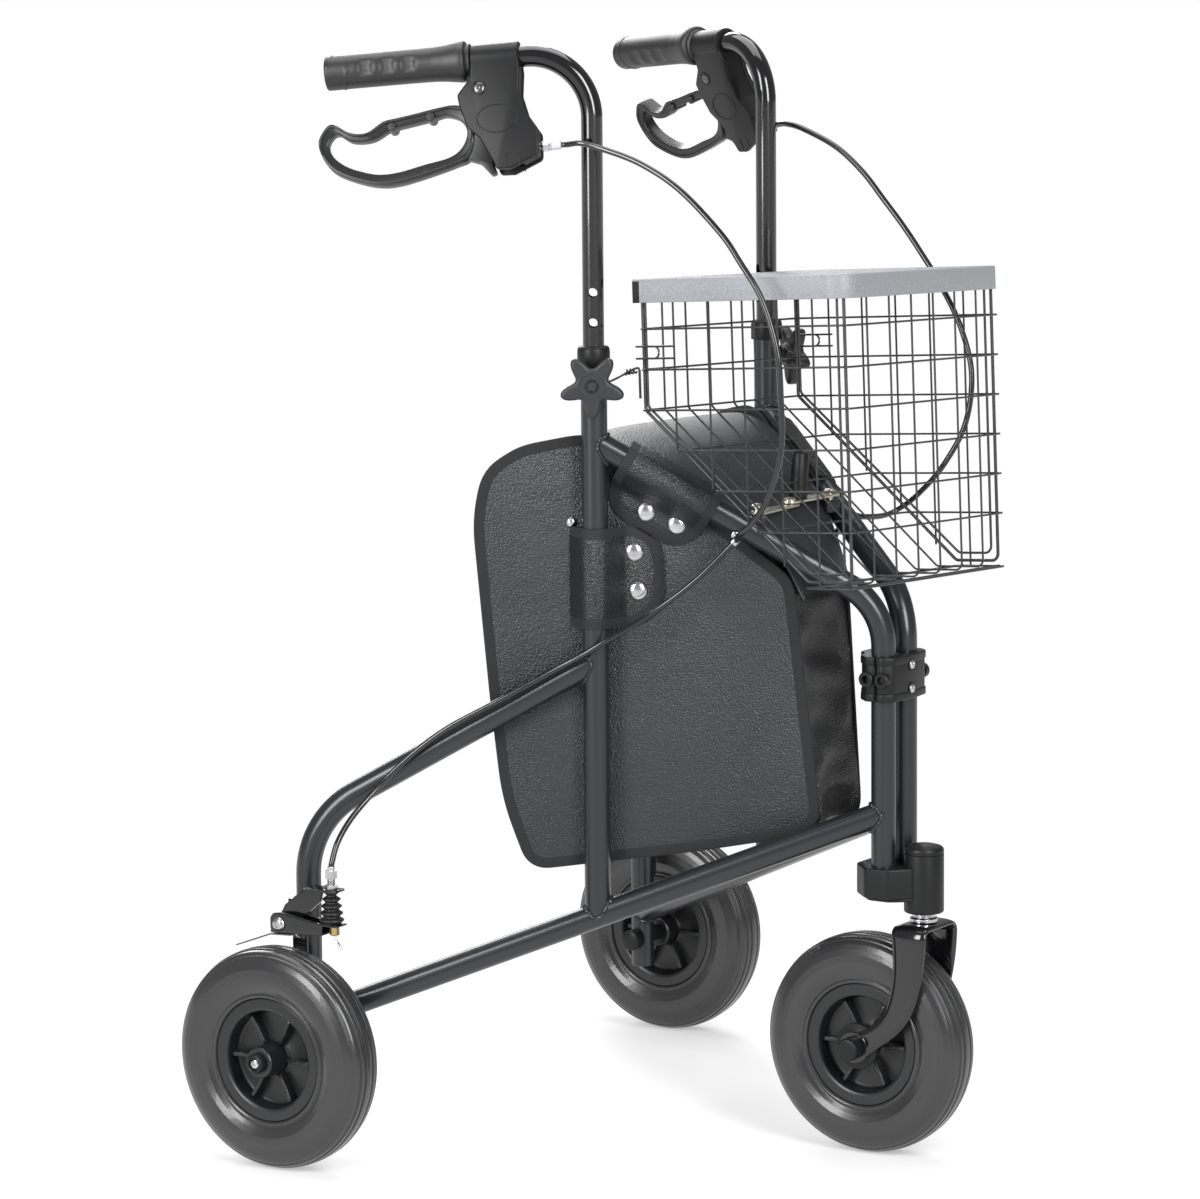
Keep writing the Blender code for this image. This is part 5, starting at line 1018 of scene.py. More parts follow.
# %% Holes in a tube
def pierced(low, high, radius, heights, hole, ways, sides=48):
    """Upright tube skin with round holes that face each of the ways. Near a hole, a grid point (a, up)
    round and along the skin goes to distance (1 - t) hole + t |(a, up)|, t its share of the margin."""
    pitch = 2 * math.pi * radius / sides
    rows = int(round((high - low) / pitch)) + 1
    equal = 2 * math.pi * np.arange(sides) / sides
    z, angle = np.meshgrid(np.linspace(low, high, rows), equal, indexing="ij")
    turn = angle + ways[0]
    keep = np.ones((rows - 1, sides), bool)
    step = (high - low) / (rows - 1)
    for height, toward in [(height, way) for height in heights for way in ways]:
        away = (turn - toward + math.pi) % (2 * math.pi) - math.pi
        row_up = low + round((height - low) / step) * step
        a, up = away * radius, z - row_up
        square = np.maximum(np.abs(a / pitch), np.abs(up / step))
        inner, margin = 2.0, 6.0
        t = np.clip((square - inner) / (margin - inner), 0, 1)
        length = np.maximum(np.hypot(a, up), 1e-9)
        near = (square >= inner - 0.01) & (square < margin)
        size = np.where(near, ((1 - t) * hole + t * length) / length, 1.0)
        away = np.where(near, a * size / radius, away)
        z = np.where(near, row_up + up * size + (height - row_up) * (1 - t), z)
        flat = np.concatenate([square, square[:, :1]], 1) <= inner + 0.01
        keep &= ~(flat[:-1, :-1] & flat[1:, :-1] & flat[:-1, 1:] & flat[1:, 1:])
        turn = away + toward
    points = np.stack([radius * np.cos(turn), radius * np.sin(turn), z], -1)
    part = skin(points, caps=False)
    return dict(part, quads=part["quads"][keep.ravel()], spots=part["spots"][keep.ravel()])


print("a hole takes a square of four by four cells of the grid")

# %% [markdown]
# A glossy handle tube slides in each upright and bends back into the grip. A short
# lining goes through its wall at each height hole.

# %% Handle tubes
handle_radius = 9.0
facing_out = math.radians(-6.06)
hole_pitch = 25.4
holes = [knob_high + k * hole_pitch for k in (2, 3)]
handle_path = bent([(0, 0, 760), (0, 0, handle_high), along_grip([grip_tip, 0, 0])], 51, steps=28)
bent_part = np.concatenate([handle_path[:1], [(0, 0, 800), (0, 0, 840)], handle_path[1:]])
way_out = (math.cos(facing_out), math.sin(facing_out), 0)
lining = np.array([(4.4, 6.4), (4.4, 7.9), (4.1, 7.9), (4.1, 6.4)])
linings = [turned(lining * (1, way), (0, 0, height), way_out, sides=24, hollow=True)
           for height in holes for way in (1, -1)]
pair("handle_tube", "{s}_handle", gloss_paint, [
    pierced(600, 760, handle_radius, holes, 4.3, (facing_out, facing_out + math.pi)),
    carried(bent_part, circle(handle_radius, 48), (1, 0, 0)),
    *linings,
], ["{s}_handle_tube"], place=to_handle)
print("holes at", holes, "mm")

# %% [markdown]
# The rubber grip is a sleeve that flares where it meets the brake housing. Each side has
# three finger dimples, and a thin raised line spirals round its rear end. All of it is one
# radius that depends on the distance along and the angle round.

# %% Grips
def grip_skin(steps=120, sides=96):
    """Radius over length u and angle: a flared base, minus dimples exp(-(du/6)^4 - (da/0.42)^4), plus a
    spiral ridge exp(-(u - line)^2 / 0.7) near the rear."""
    u = np.concatenate([[105.2], np.linspace(105.6, 224.2, steps), [224.7, 224.9]])[:, None]
    angle = (2 * math.pi * np.arange(sides) / sides)[None]
    base_u = [105.2, 105.6, 107, 110.5, 116, 123, 133, 150, 200, 223.4, 224.4, 224.7, 224.9]
    base_r = [15.4, 16.2, 17.3, 17.3, 16.5, 15.5, 14.7, 14.5, 14.4, 14.5, 14.3, 13.8, 12.6]
    radius = np.interp(u, base_u, base_r) + 0 * angle
    for spot in (153.0, 171.5, 190.0):
        for middle in (0.15, math.pi - 0.15):
            da = (angle - middle + math.pi) % (2 * math.pi) - math.pi
            radius = radius - 1.5 * np.exp(-((u - spot) / 6.0) ** 4 - (da / 0.42) ** 4)
    line = 205 + 17 * (angle / (2 * math.pi))
    radius = radius + 0.7 * np.exp(-((u - line) ** 2) / 0.7)
    points = np.stack([u + 0 * angle, radius * np.sin(angle), radius * np.cos(angle)], -1)
    return skin(points)


pair("grip", "{s}_handle", grip_rubber, [
    grip_skin(),
    turned([(9.3, 101.2), (13.6, 101.2), (14.4, 102), (14.4, 103.6), (13.4, 104.2), (13.4, 105.4),
            (9.3, 105.4)], axis=(1, 0, 0), hollow=True),
    turned([(12.8, 224.6), (11.8, 225), (3.4, 225), (2.8, 224), (0.4, 223.8)], axis=(1, 0, 0)),
], ["{s}_grip"], place=to_grip, crisp=50)
print("grip skin has", len(grip_skin()["points"]), "points")

# %% [markdown]
# The brake housing clamps the tube with a round sleeve and hangs down as two cheeks with
# the lever between them. Each cheek is a flat moulding with a soft rim, an oval ridge and
# a domed screw, and the middle is filled ahead of the lever.

# %% Brake housings
cheek = [(100.6, 2), (60, 2), (59, 12.4), (60.3, 32.3), (55.5, 49.9), (45, 66.4), (45, 88), (69.1, 98.6),
         (81, 98.1), (83.5, 91.6), (94.1, 70.7), (105, 59.8), (110.7, 42.1), (112.5, 32), (101.6, 18.6)]
core = [(100, 4), (61, 4), (60, 12.4), (61.2, 32.3), (56.4, 49.9), (46, 66.4), (46, 87), (62.2, 94.2),
        (62.2, 26), (104, 26), (101, 18.6)]
sleeve = [(9.2, 60), (12, 60), (12.9, 60.8), (13, 62), (13, 98.8), (12.9, 99.8), (12, 100.6),
          (9.2, 100.6)]
turns = np.linspace(0, 2 * math.pi, 72, endpoint=False)
screw_spot = (93.7, 27.5)
oval = np.stack([79.1 + 17 * np.cos(turns), 54.8 + 12 * np.sin(turns), np.zeros(72)], -1)
housing_parts = [turned(sleeve, axis=(1, 0, 0), hollow=True)]
housing_parts.append(plate(eased(core, 3), -8.6, 8.6, in_place, edge=0.2))
for face in (1, -1):
    flat = seat((0, 0, 0), (1, 0, 0), (0, 1, 0), (0, 0, face))
    housing_parts.append(plate(eased(cheek, 5, steps=6), 7.9, 12.2, flat, edge=(0.2, 1.5)))
    ridge_line = oval + (0, 0, 12.15 * face)
    housing_parts.append(carried(ridge_line, circle(0.5, 8), (0, 0, 1), closed=True))
    housing_parts.append(turned([(6.2, 11.9), (6.2, 12.5), (5.6, 12.75), (5.0, 12.5), (4.9, 11.9)],
                                (*screw_spot, 0), (0, 0, face), sides=40, hollow=True))
    for u in (60.6, 71.6):
        rib = [(u, 86), (u + 1.2, 86), (u + 1.2, 95.5), (u, 95.5)]
        housing_parts.append(plate(rib, 12.0, 12.55, flat, edge=0.2))
pair("brake_housing", "{s}_handle", moulded, housing_parts, ["{s}_brake_housing"],
     place=to_grip)
screw_parts = [screw((*screw_spot, 12.1 * face), (0, 0, face), 4.5, 1.1) for face in (1, -1)]
pair("housing_screw", "{s}_handle", dark_steel, screw_parts, place=to_grip)
pair("lever_pin", "{s}_handle", bright_steel, [
    turned([(0.3, -11.8), (2.3, -11.8), (2.5, -11.5), (2.5, 11.5), (2.3, 11.8), (0.3, 11.8)],
           (86, 52, 0), (0, 0, 1), sides=24)
], ["{s}_lever_pin"], place=to_grip)
print("housing is built of", len(housing_parts), "skins")

# %% [markdown]
# The brake lever is a plastic loop. Its band has a raised rim on the outside and is thinner
# inside, so stations that pair an outer point with an inner one carry that section round.
# A thinner lug runs up into the housing.

# %% Brake levers
stations = [(114.8, 38.5, 123.5, 46.6), (130, 39.6, 135, 48.6), (150, 43, 152, 51.4),
            (166, 45.4, 164, 53.4), (177.2, 47.4, 172.5, 55.2), (191.6, 55.8, 187, 62.2),
            (206, 54.3, 204, 62), (220.6, 45.8, 215.5, 55), (229, 52.3, 221.6, 57.4),
            (232.7, 63, 224.6, 65.6), (227.5, 78, 219, 75.5), (218, 88.5, 208.5, 83.6),
            (198.4, 97.6, 195, 89.2), (180.1, 102.2, 181, 92.6), (163.2, 101.6, 164.3, 91.9),
            (140, 96.5, 142, 87.2), (117.5, 90.2, 121.5, 83), (104, 84, 110.6, 75.2),
            (99.6, 62, 106, 62.4), (104, 43.5, 111.8, 51.4)]
ring = flowing(stations, steps=7, closed=True)
band = np.array([(1.0, 0), (0.99, 5.4), (0.92, 7.0), (0.8, 7.4), (0.66, 7.1), (0.58, 6.1), (0.5, 5.9),
                 (0.12, 5.9), (0.03, 5.4), (0.0, 4.6)])
band = np.concatenate([band, band[:0:-1] * (1, -1)])
share, depth = band[:, 0][None, :, None], band[:, 1]
flat_band = ring[:, None, 2:] + (ring[:, None, :2] - ring[:, None, 2:]) * share
deep = np.broadcast_to(depth[None, :, None], (*flat_band.shape[:2], 1))
loop_band = skin(np.concatenate([flat_band, deep], -1), endless=True)
lug = [(76, 43), (86, 40), (100, 38), (113, 38.6), (114, 46), (104.5, 52), (101.5, 62), (106, 76),
       (111, 85), (105, 86.2), (96, 89.5), (87, 100.5), (82.5, 99), (86, 88), (76, 82), (70.5, 64)]
boss = [(0.3, -7.8), (3.4, -7.7), (4, -7), (4, 7), (3.4, 7.7), (0.3, 7.8)]
bosses = [turned(boss, (u, v, 0), UP, sides=32) for u, v in ((136.5, 47.2), (169.5, 53.0))]
pair("brake_lever", "{s}_lever", lever_plastic, [
    loop_band,
    plate(eased(lug, 5), -5.6, 5.6, in_place, edge=0.9),
    *bosses,
], ["{s}_brake_lever"], place=to_grip)
print("lever loop has", len(ring), "stations")

# %% [markdown]
# The cable leaves the housing at its front through an adjuster with a hexagonal nut, a
# round nut and a pale end sleeve.

# %% Cable adjusters
cable_drop = 79
from_front = ((0, cable_drop, 0), (1, 0, 0))
adjuster = [(2.6, 44.9), (4.4, 44.6), (4.6, 44.2), (4.6, 39), (4.3, 38.5), (3.1, 38.4)]
collar_nut = [(3.1, 38.6), (3.8, 38.4), (3.8, 36), (3.2, 35.8)]
pair("cable_adjuster", "{s}_handle", bright_steel, [
    turned(adjuster[::-1], *from_front, sides=6),
    turned([(2.9, 35.6), (2.9, 62), (2.4, 62)], *from_front, sides=24),
    turned(collar_nut[::-1], *from_front, sides=32),
], ["{s}_cable_adjuster"], place=to_grip)
pair("cable_sleeve", "{s}_handle", pale_sleeve, [
    turned([(2.75, 27.8), (3.5, 28.3), (3.7, 29.2), (3.7, 35), (3.4, 36)], *from_front, sides=32),
], place=to_grip)
print("cables leave the grips", cable_drop, "mm below their middle")

# %% [markdown]
# The basket's wires are of three kinds: straight ones, level loops, and wires bent to its
# side view, with its flat floor, sloped back and upright rear.

# %% Kinds of basket wire
HALF, DEEP, HIGH = 129.0, 202.0, 252.6
floor_end, back_up = 48.2, 146.0
thin, stout = 0.9, 1.4


def reach_back(level):
    """How far back the basket goes at a level: the flat floor, then the slope, then the back."""
    return np.interp(level, [0, back_up], [floor_end, DEEP])


def wire(corners, radius, across=(1, 0, 0), bend=6.0, sides=10):
    """Wire bent at each of its corners."""
    return tube(bent(corners, bend, steps=6), radius, across, sides)


def level_loop(level, radius, grow=0.0, corner=7):
    """Closed rectangle with rounded corners that goes as far back as the basket does there."""
    x, back = HALF + grow, float(reach_back(level)) + grow
    flat = eased([(x, -grow), (x, back), (-x, back), (-x, -grow)], corner, steps=6)
    path = np.concatenate([flat, np.full((len(flat), 1), level)], -1)
    return carried(path, circle(radius, 10), UP, closed=True)


def side_view(x, inset=0.0, high=HIGH):
    """Corners of a wire that follows the basket's side view at x, inset from it all round."""
    slope, rear = inset * 0.45, DEEP - 0.4 * inset
    return [(x, inset, high), (x, inset, inset), (x, floor_end - slope, inset),
            (x, rear, back_up + slope), (x, rear, high)]


print("basket is", 2 * HALF, "by", DEEP, "by", HIGH, "mm")

# %% [markdown]
# The basket is welded from steel wire. Level loops run round it, wires bent to its side
# view go down the front, under the floor, up the sloped back and to the rim, and shorter
# ones stand in its sides. Each wire is a thin tube with few sides, and the wires that
# cross lie one on the other as they do when they are spot-welded.

# %% Basket
hook_high, hook_low = 201.5, 191.5
levels = [0.0, 46.0, 80.0, 114.0, 148.0, 182.0, 216.0]
basket_wires = [level_loop(level, thin) for level in levels]
basket_wires.append(level_loop(HIGH, stout, 0.4, 20))
columns = np.linspace(-HALF, HALF, 8)
for x in columns[1:-1]:
    basket_wires.append(wire(side_view(x, 2.2), thin))
for side in (1, -1):
    basket_wires.append(wire(side_view(side * (HALF - 5), 5), stout))
    basket_wires.append(wire(side_view(side * (HALF - 5), 11.5), thin + 0.2))
stations_y = np.linspace(0, DEEP, 7)[1:-1]
feet = np.interp(stations_y, [floor_end, DEEP], [0, back_up])
for side in (1, -1):
    x = np.full(len(stations_y), side * (HALF - 2.2))
    rims = np.full(len(x), HIGH)
    basket_wires += wires(np.stack([x, stations_y, feet], -1), np.stack([x, stations_y, rims], -1), thin)
    outside = side * (HALF + 1.8)
    hook = [(outside, DEEP + 2, hook_high), (outside, DEEP - 21, hook_high),
            (outside, DEEP - 21, hook_low), (outside, DEEP + 2, hook_low)]
    basket_wires.append(wire(hook, thin, UP, bend=4.6))
    basket_wires += wires([(side * (HALF + 0.6), DEEP - 35, z) for z in (hook_high, hook_low)],
                          [(side * (HALF + 0.6), DEEP, z) for z in (hook_high, hook_low)], thin)
for back in (7, floor_end - 6):
    basket_wires += wires([(-HALF, back, 0.4)], [(HALF, back, 0.4)], thin)
piece("basket", "basket_body", wire_paint, basket_wires, ["basket"], place=to_basket)
print("basket has", len(basket_wires), "wires")

# %% [markdown]
# Two wire hangers reach from the basket's rear corners to the knob bolts. Each is a hook
# that goes over the bolt, with its end wound round its own leg in a short coil.

# %% Hangers
def coil(start, end, radius, turns, steps=16):
    """Helix round a straight leg: start + t (end - start) + radius (cos, sin)(2 pi turns t)."""
    start, end = np.asarray(start, float), np.asarray(end, float)
    t = np.linspace(0, 1, int(turns * steps) + 1)[:, None]
    ahead = unit(end - start)
    side = unit(np.cross(ahead, UP))
    turn = 2 * math.pi * turns * t
    swing = np.cos(turn) * side + np.sin(turn) * np.cross(ahead, side)
    return start + t * (end - start) + radius * swing


for side, sign in SIDES.items():
    low_corner = to_basket([sign * (HALF - 1), DEEP + 0.5, 158]) * (sign, 1, 1)
    high_corner = to_basket([sign * (HALF - 1), DEEP + 0.5, 182]) * (sign, 1, 1)
    bolt = to_frame([14.0, upright_back, knob_high])
    over = bolt + np.array([0, 0, 5.6])
    hook_line = flowing([high_corner, high_corner + (1, 4, 1), over + (-5, -12, -3),
                         over + (-1, -3, 0.4), over + (1, 3, -0.8), bolt + (2, 6.2, -1),
                         bolt + (1, 5.2, -7), bolt + (-1, 1, -10)], steps=9)
    toward = unit(over - high_corner)
    leg = coil(high_corner + 3 * toward, high_corner + 13 * toward, 2.0, 3.5)
    hanger = [tube(hook_line, 1.0, UP, sides=10), tube(leg, 0.8, UP, sides=8),
              *wires([low_corner], [high_corner], 1.1)]
    piece(f"{side}_hanger", "basket_body", wire_paint, [mirrored(part, sign) for part in hanger])
print("hanger reaches the bolt at", np.round(bolt))

# %% [markdown]
# Skirts and straps are thin strips that follow a line and keep their width along an axis
# square to it.

# %% Strips
def ribbon(line, low, high, half, edge, wide, steps=4):
    """Strip of 2 half thick carried along a line, from low to high along a wide axis square to it."""
    line, wide = np.asarray(line, float), np.asarray(wide, float)
    ahead = directions(line)
    normal = unit(np.cross(ahead, wide))
    reach = np.maximum((high - low) / 2, edge + 0.02)
    quarter = np.linspace(0, math.pi / 2, steps)
    angle = np.concatenate([quarter + k * math.pi / 2 for k in range(4)])
    sign_w, sign_n = np.repeat([1, -1, -1, 1], steps), np.repeat([1, 1, -1, -1], steps)
    across = sign_w * (reach[:, None] - edge) + edge * np.cos(angle)
    through = np.broadcast_to(sign_n * (half - edge) + edge * np.sin(angle), across.shape)
    centre = line + wide * ((low + high) / 2)[:, None]
    return skin(centre[:, None] + across[..., None] * wide + through[..., None] * normal[:, None])


print("a strip keeps one axis square to its line")

# %% [markdown]
# A speckled grey tray sits on the basket like a shallow lid. Its skirt goes round the
# front and both sides with large front corners, and its rear end is open. Black strips at
# that end stand in for the shade inside it: painted shade.

# %% Tray
tray_half, tray_front, tray_rear, tray_low, tray_high = 132.5, -3.6, 204.1, 238.0, 257.9
plan = bent([(tray_half, tray_rear, 0), (tray_half, tray_front, 0), (-tray_half, tray_front, 0),
             (-tray_half, tray_rear, 0)], 20, steps=26)[:, :2]
top_plan = np.concatenate([plan, [(-tray_half + 2, tray_rear), (tray_half - 2, tray_rear)]])
skirt_centre = bent([(tray_half - 1, tray_rear, 0), (tray_half - 1, tray_front + 1, 0),
                     (-tray_half + 1, tray_front + 1, 0), (-tray_half + 1, tray_rear, 0)], 19, steps=26)
low_line, high_line = np.full(len(skirt_centre), tray_low), np.full(len(skirt_centre), tray_high - 1.2)
piece("tray", "tray_body", tray_plastic, [
    plate(top_plan, 255.5, tray_high, in_place, edge=(0.2, 1.8), steps=5),
    ribbon(skirt_centre, low_line, high_line, 0.95, 0.5, UP),
], ["tray"], place=to_basket)
# Black strips under the tray's open rear end and over the rear ends of its skirt: painted shade where
# the tray's underside lies in shadow.
tray_end = np.array([(-tray_half + 2.4, tray_rear - 3, 0), (tray_half - 2.4, tray_rear - 3, 0)])
end_runs = [np.array([(side * (tray_half - 1), tray_rear - 6.5, 0),
                      (side * (tray_half - 1), tray_rear + 0.1, 0)]) for side in (1, -1)]
piece("tray_rear_edge", "tray_body", moulded, [
    ribbon(tray_end, np.full(2, 249.0), np.full(2, 255.2), 0.9, 0.4, UP),
    *[ribbon(run, np.full(2, tray_low), np.full(2, 256.2), 1.1, 0.4, UP) for run in end_runs],
], place=to_basket)
print("tray skirt runs", round(np.linalg.norm(np.diff(skirt_centre, axis=0), axis=1).sum()), "mm")

# %% [markdown]
# A folding brace holds the frames apart. Two zinc-plated links meet at a knee, where a
# rivet joins them.

# %% Brace links
pivot = np.array([59.745, -124.687])
knee = np.array([0.0, -120.687])


def link(low, high, to_side, bead=0.7):
    """Plate from a pivot to the knee with half-round ends, and a raised bead along its middle."""
    first = pivot * (to_side, 1)
    run = unit(knee - first)
    across = np.array([-run[1], run[0]])
    turn = np.linspace(-math.pi / 2, math.pi / 2, 15)[:, None]
    far_end = knee + 8.4 * (np.cos(turn) * run + np.sin(turn) * across)
    near_end = first - 8.4 * (np.cos(turn) * run + np.sin(turn) * across)
    return plate(np.concatenate([far_end, near_end]), low, high, in_place, edge=bead)


piece("right_brace_link", "right_brace", zinc, [link(551.4, 553.85, -1)],
      ["right_brace_link"])
piece("left_brace_link", "left_brace", zinc, [
    link(554.2, 556.65, 1), turned([(0.5, 556.5), (5.6, 556.5), (5.6, 557.6), (4.4, 559), (0.3, 559.4)],
                                   (*knee, 0)),
], ["left_brace_link"])
print("each link is", round(np.linalg.norm(knee - pivot), 1), "mm long")

# %% [markdown]
# A black pull handle stands beside the knee. The links turn on pins that stand on lugs
# of the sloping tubes.

# %% Brace handle and pins
pull_foot, pull_top = np.array([14, knee[1], 557.0]), np.array([18, knee[1], 595.3])
pull = unit(pull_top - pull_foot)
tall = np.linalg.norm(pull_top - pull_foot)
piece("brace_handle", "left_brace", moulded, [
    turned([(6.0, 0.4), (7.3, 0.1), (7.5, 2), (7.5, 22), (7.3, tall - 1), (6.7, tall), (6.0, tall - 0.8),
            (6.0, 3)], pull_foot, pull, hollow=True, sides=40),
    turned([(0.5, 2.6), (6.2, 2.6), (6.2, 3.4), (0.5, 3.4)], pull_foot, pull),
], ["brace_handle"])
local_pivot = np.array([*pivot, 0]) - (hinge_out, hinge_y, 0)
brace_back = float(local_pivot @ facing(frame_turn)[1])
lug_front, lug_back = brace_back - 7.4, brace_back + 7.4
lug_shape = [(-20.4, lug_front), (-5.6, lug_front), (-5.6, lug_back), (-20.4, lug_back)]
pair("brace_lug", "{s}_frame", tube_paint, [
    plate(eased(lug_shape, 2.5), 540.3, 551.0, in_place, edge=0.8),
], place=to_frame)
pair("brace_pin", "{s}_frame", zinc, [
    turned([(3, 550), (3, 557.1), (5.2, 557.3), (5.2, 559), (3.4, 560.3), (0.4, 560.5)],
           (-13, brace_back, 0)),
], place=to_frame)
print("brace pivots", round(brace_back, 1), "mm back along the frames")

# %% [markdown]
# The bag hangs between the frames. The outline of its sides was measured as a few corners,
# back and up, each with the radius of its bend.

# %% Outline of the bag
outline_points = [(52, 283, 26), (90, 273, 300), (156, 263, 400), (292, 247, 20), (305, 254.6, 25),
                  (324, 306.5, 300), (333.5, 393, 900), (347, 547, 150), (338, 590, 45), (306, 610, 60),
                  (238, 623, 60), (76, 497, 30)]


def softened(points, shrink):
    """Closed smooth outline: each corner cut by an arc, then the whole drawn in by a distance."""
    corners = np.array([p[:2] for p in points])
    rounded = []
    for k, (_, _, radius) in enumerate(points):
        before, corner, after = corners[k - 1], corners[k], corners[(k + 1) % len(corners)]
        a, b = unit(before - corner), unit(after - corner)
        half = math.acos(float(np.clip(a @ b, -1, 1))) / 2
        shorter = min(np.linalg.norm(before - corner), np.linalg.norm(after - corner))
        reach = min(radius / math.tan(half), 0.45 * shorter)
        ends = [corner + a * (reach + 0.5), corner, corner + b * (reach + 0.5)]
        rounded.append(bent(ends, reach * math.tan(half), 7)[1:-1])
    loop = evenly(np.concatenate([*rounded, rounded[0][:1]]), 3.0)[:-1]
    for _ in range(3):
        loop = (np.roll(loop, 1, 0) + 2 * loop + np.roll(loop, -1, 0)) / 4
    ahead = directions(loop, closed=True)
    return loop + shrink * np.stack([-ahead[:, 1], ahead[:, 0]], -1)


print("the outline has", len(outline_points), "corners")

# %% [markdown]
# Each side of the bag is a stiff panel with woven tape wrapped round its edge. The tape
# has a flattened oval section, carried round a copy of the outline that is drawn in.

# %% Bag panels
panel_in, panel_out = -14.0, -11.7
inward = softened(outline_points, 0.0)
behind, above = np.roll(inward, -1, axis=0).T
way = 1 if (inward[:, 0] * above - inward[:, 1] * behind).sum() > 0 else -1
face_loop = softened(outline_points, way * 1.5)
tape_loop = softened(outline_points, way * 4.9)
on_panel = seat((0, 0, 0), (0, 1, 0), UP, (1, 0, 0))
turns = np.linspace(0, 2 * math.pi, 25)[:-1]
tape_flat = 4.9 * np.sign(np.cos(turns)) * abs(np.cos(turns)) ** 0.4
tape_high = 1.45 * np.sign(np.sin(turns)) * abs(np.sin(turns)) ** 0.6
tape_section = np.stack([tape_flat, tape_high], -1)
panel_middle = np.full(len(tape_loop), (panel_in + panel_out) / 2)
tape_path = np.stack([panel_middle, tape_loop[:, 0], tape_loop[:, 1]], -1)
pair("bag_panel", "{s}_frame", panel_vinyl, [plate(face_loop, panel_in, panel_out, on_panel, edge=0.6)],
     ["{s}_bag_panel"], place=to_frame)
pair("bag_panel_tape", "{s}_frame", binding, [carried(tape_path, tape_section, (1, 0, 0), closed=True)],
     place=to_frame)
print("panel edge tape is", round(len(tape_loop) * 3.0), "mm long")

# %% [markdown]
# A strap starts on the panel, passes over the outside of its tube and comes back to the
# panel. It is one strip along that line whose width shrinks at the end, once in tape at
# full size and once in vinyl, inset by the tape.

# %% Shape of a strap
def over_tube(start, end, radius, rest=-10.4, steps=24):
    """Line in (out, across) from the panel at start > 0, over a tube at 0, back to the panel and on to
    end. A tangent from a point at distance D and angle f meets the tube at f -+ acos(radius / D)."""
    settle = -2.1 * radius
    first = math.atan2(start, rest) - math.acos(radius / math.hypot(rest, start))
    last = math.atan2(settle, rest) + math.acos(radius / math.hypot(rest, settle))
    turn = np.linspace(first, last, steps)
    over_top = np.stack([radius * np.cos(turn), radius * np.sin(turn)], -1)
    down = bent([over_top[-1], (rest, settle), (rest, end)], 9)
    return evenly(np.concatenate([[(rest, start)], over_top, down[1:]]), 1.6)


def strap_parts(line, low, high, corner, inset, wide, place):
    """Tape and vinyl layers of one strap; its end narrows along a quarter circle of radius corner."""
    run = np.concatenate([[0], np.cumsum(np.linalg.norm(np.diff(line, axis=0), axis=1))])
    left = np.clip(run[-1] - run, 0, corner)
    narrow = corner - np.sqrt(np.maximum(corner**2 - (corner - left) ** 2, 0))
    tape = ribbon(line, low + narrow, high - narrow, 0.9, 0.5, wide)
    keep = run < run[-1] - inset
    inner = line[keep]
    small = corner - inset
    left = np.clip(run[keep][-1] - run[keep], 0, small)
    slim = small - np.sqrt(np.maximum(small**2 - (small - left) ** 2, 0))
    lifted = unit(np.cross(directions(inner), np.asarray(wide, float)))
    vinyl_strip = ribbon(inner - 0.35 * lifted, low + inset + slim, high - inset - slim, 0.9, 0.4, wide)
    return moved(tape, place), moved(vinyl_strip, place)


print("straps follow a tangent, an arc and a bend")

# %% [markdown]
# One strap on each side goes round the upright and one round the sloping tube. Their
# lines are flat, so each is made in a plane across its tube.

# %% Bag straps
post_line = over_tube(21.0, -58.0, POST + 1.2)
post_line3 = np.stack([post_line[:, 0], post_line[:, 1] + upright_back, np.zeros(len(post_line))], -1)
strap_corner, tape_wide = 30, 8.5
post_tape, post_vinyl = strap_parts(post_line3, 457.0, 542.0, strap_corner, tape_wide, UP, in_place)
slope_along = np.array([0, math.cos(front_slope), math.sin(front_slope)])
slope_across = np.array([0, -math.sin(front_slope), math.cos(front_slope)])
slope_low, slope_high = 141 / math.cos(front_slope), 218 / math.cos(front_slope)
rail_line = over_tube(15.0, -48.0, RAIL + 1.2)
rail_line3 = np.stack([rail_line[:, 0], np.zeros(len(rail_line)), rail_line[:, 1]], -1)
on_slope = seat((0, 0, front_corner), (1, 0, 0), slope_along, slope_across)
rail_tape, rail_vinyl = strap_parts(rail_line3, -slope_high, -slope_low, strap_corner, tape_wide,
                                    (0, -1, 0), on_slope)
pair("strap_tape", "{s}_frame", webbing, [post_tape, rail_tape], place=to_frame)
pair("strap", "{s}_frame", gusset_vinyl, [post_vinyl, rail_vinyl], place=to_frame)
print("straps run", len(post_line3), "and", len(rail_line3), "points")

# %% [markdown]
# Domed press studs hold the rounded ends of the straps on the panel.

# %% Press studs
def stud(back, up, radius=7.8, rest=-8.9):
    """Domed press stud on the panel's outside."""
    dome = [(radius * 0.96, rest - 0.5), (radius, rest + 0.2), (radius * 0.93, rest + 1.0),
            (radius * 0.7, rest + 2.0), (radius * 0.4, rest + 2.6), (0.2, rest + 2.8)]
    return turned(dome, (0, back, up), (1, 0, 0), sides=36)


studs = [stud(210, 520), stud(207, 487), stud(200, 554), stud(174, 543), stud(263, 545, 4.8, -11.4)]
pair("press_studs", "{s}_frame", bright_steel, studs, place=to_frame)
print(len(studs), "press studs a side")

# %% [markdown]
# Between the panels the bag is one soft shell of vinyl. Its section is lofted from the
# left panel to the right one, sags between them, and is wrinkled by a few crossing waves.

# %% Bag body
section_points = [(54, 288), (62, 360), (71, 440), (82, 482), (100, 512), (124, 541), (155, 552),
                  (186, 578), (230, 598), (285, 596), (312, 562), (318, 480), (312, 380), (304, 300),
                  (300, 268), (262, 265), (200, 266), (150, 272), (100, 279)]
spacing = 3.2
section_curve = flowing(section_points, 10, closed=True)
section_loop = evenly(np.concatenate([section_curve, [section_points[0]]]), spacing)[:-1]
middle_point = section_loop.mean(0)


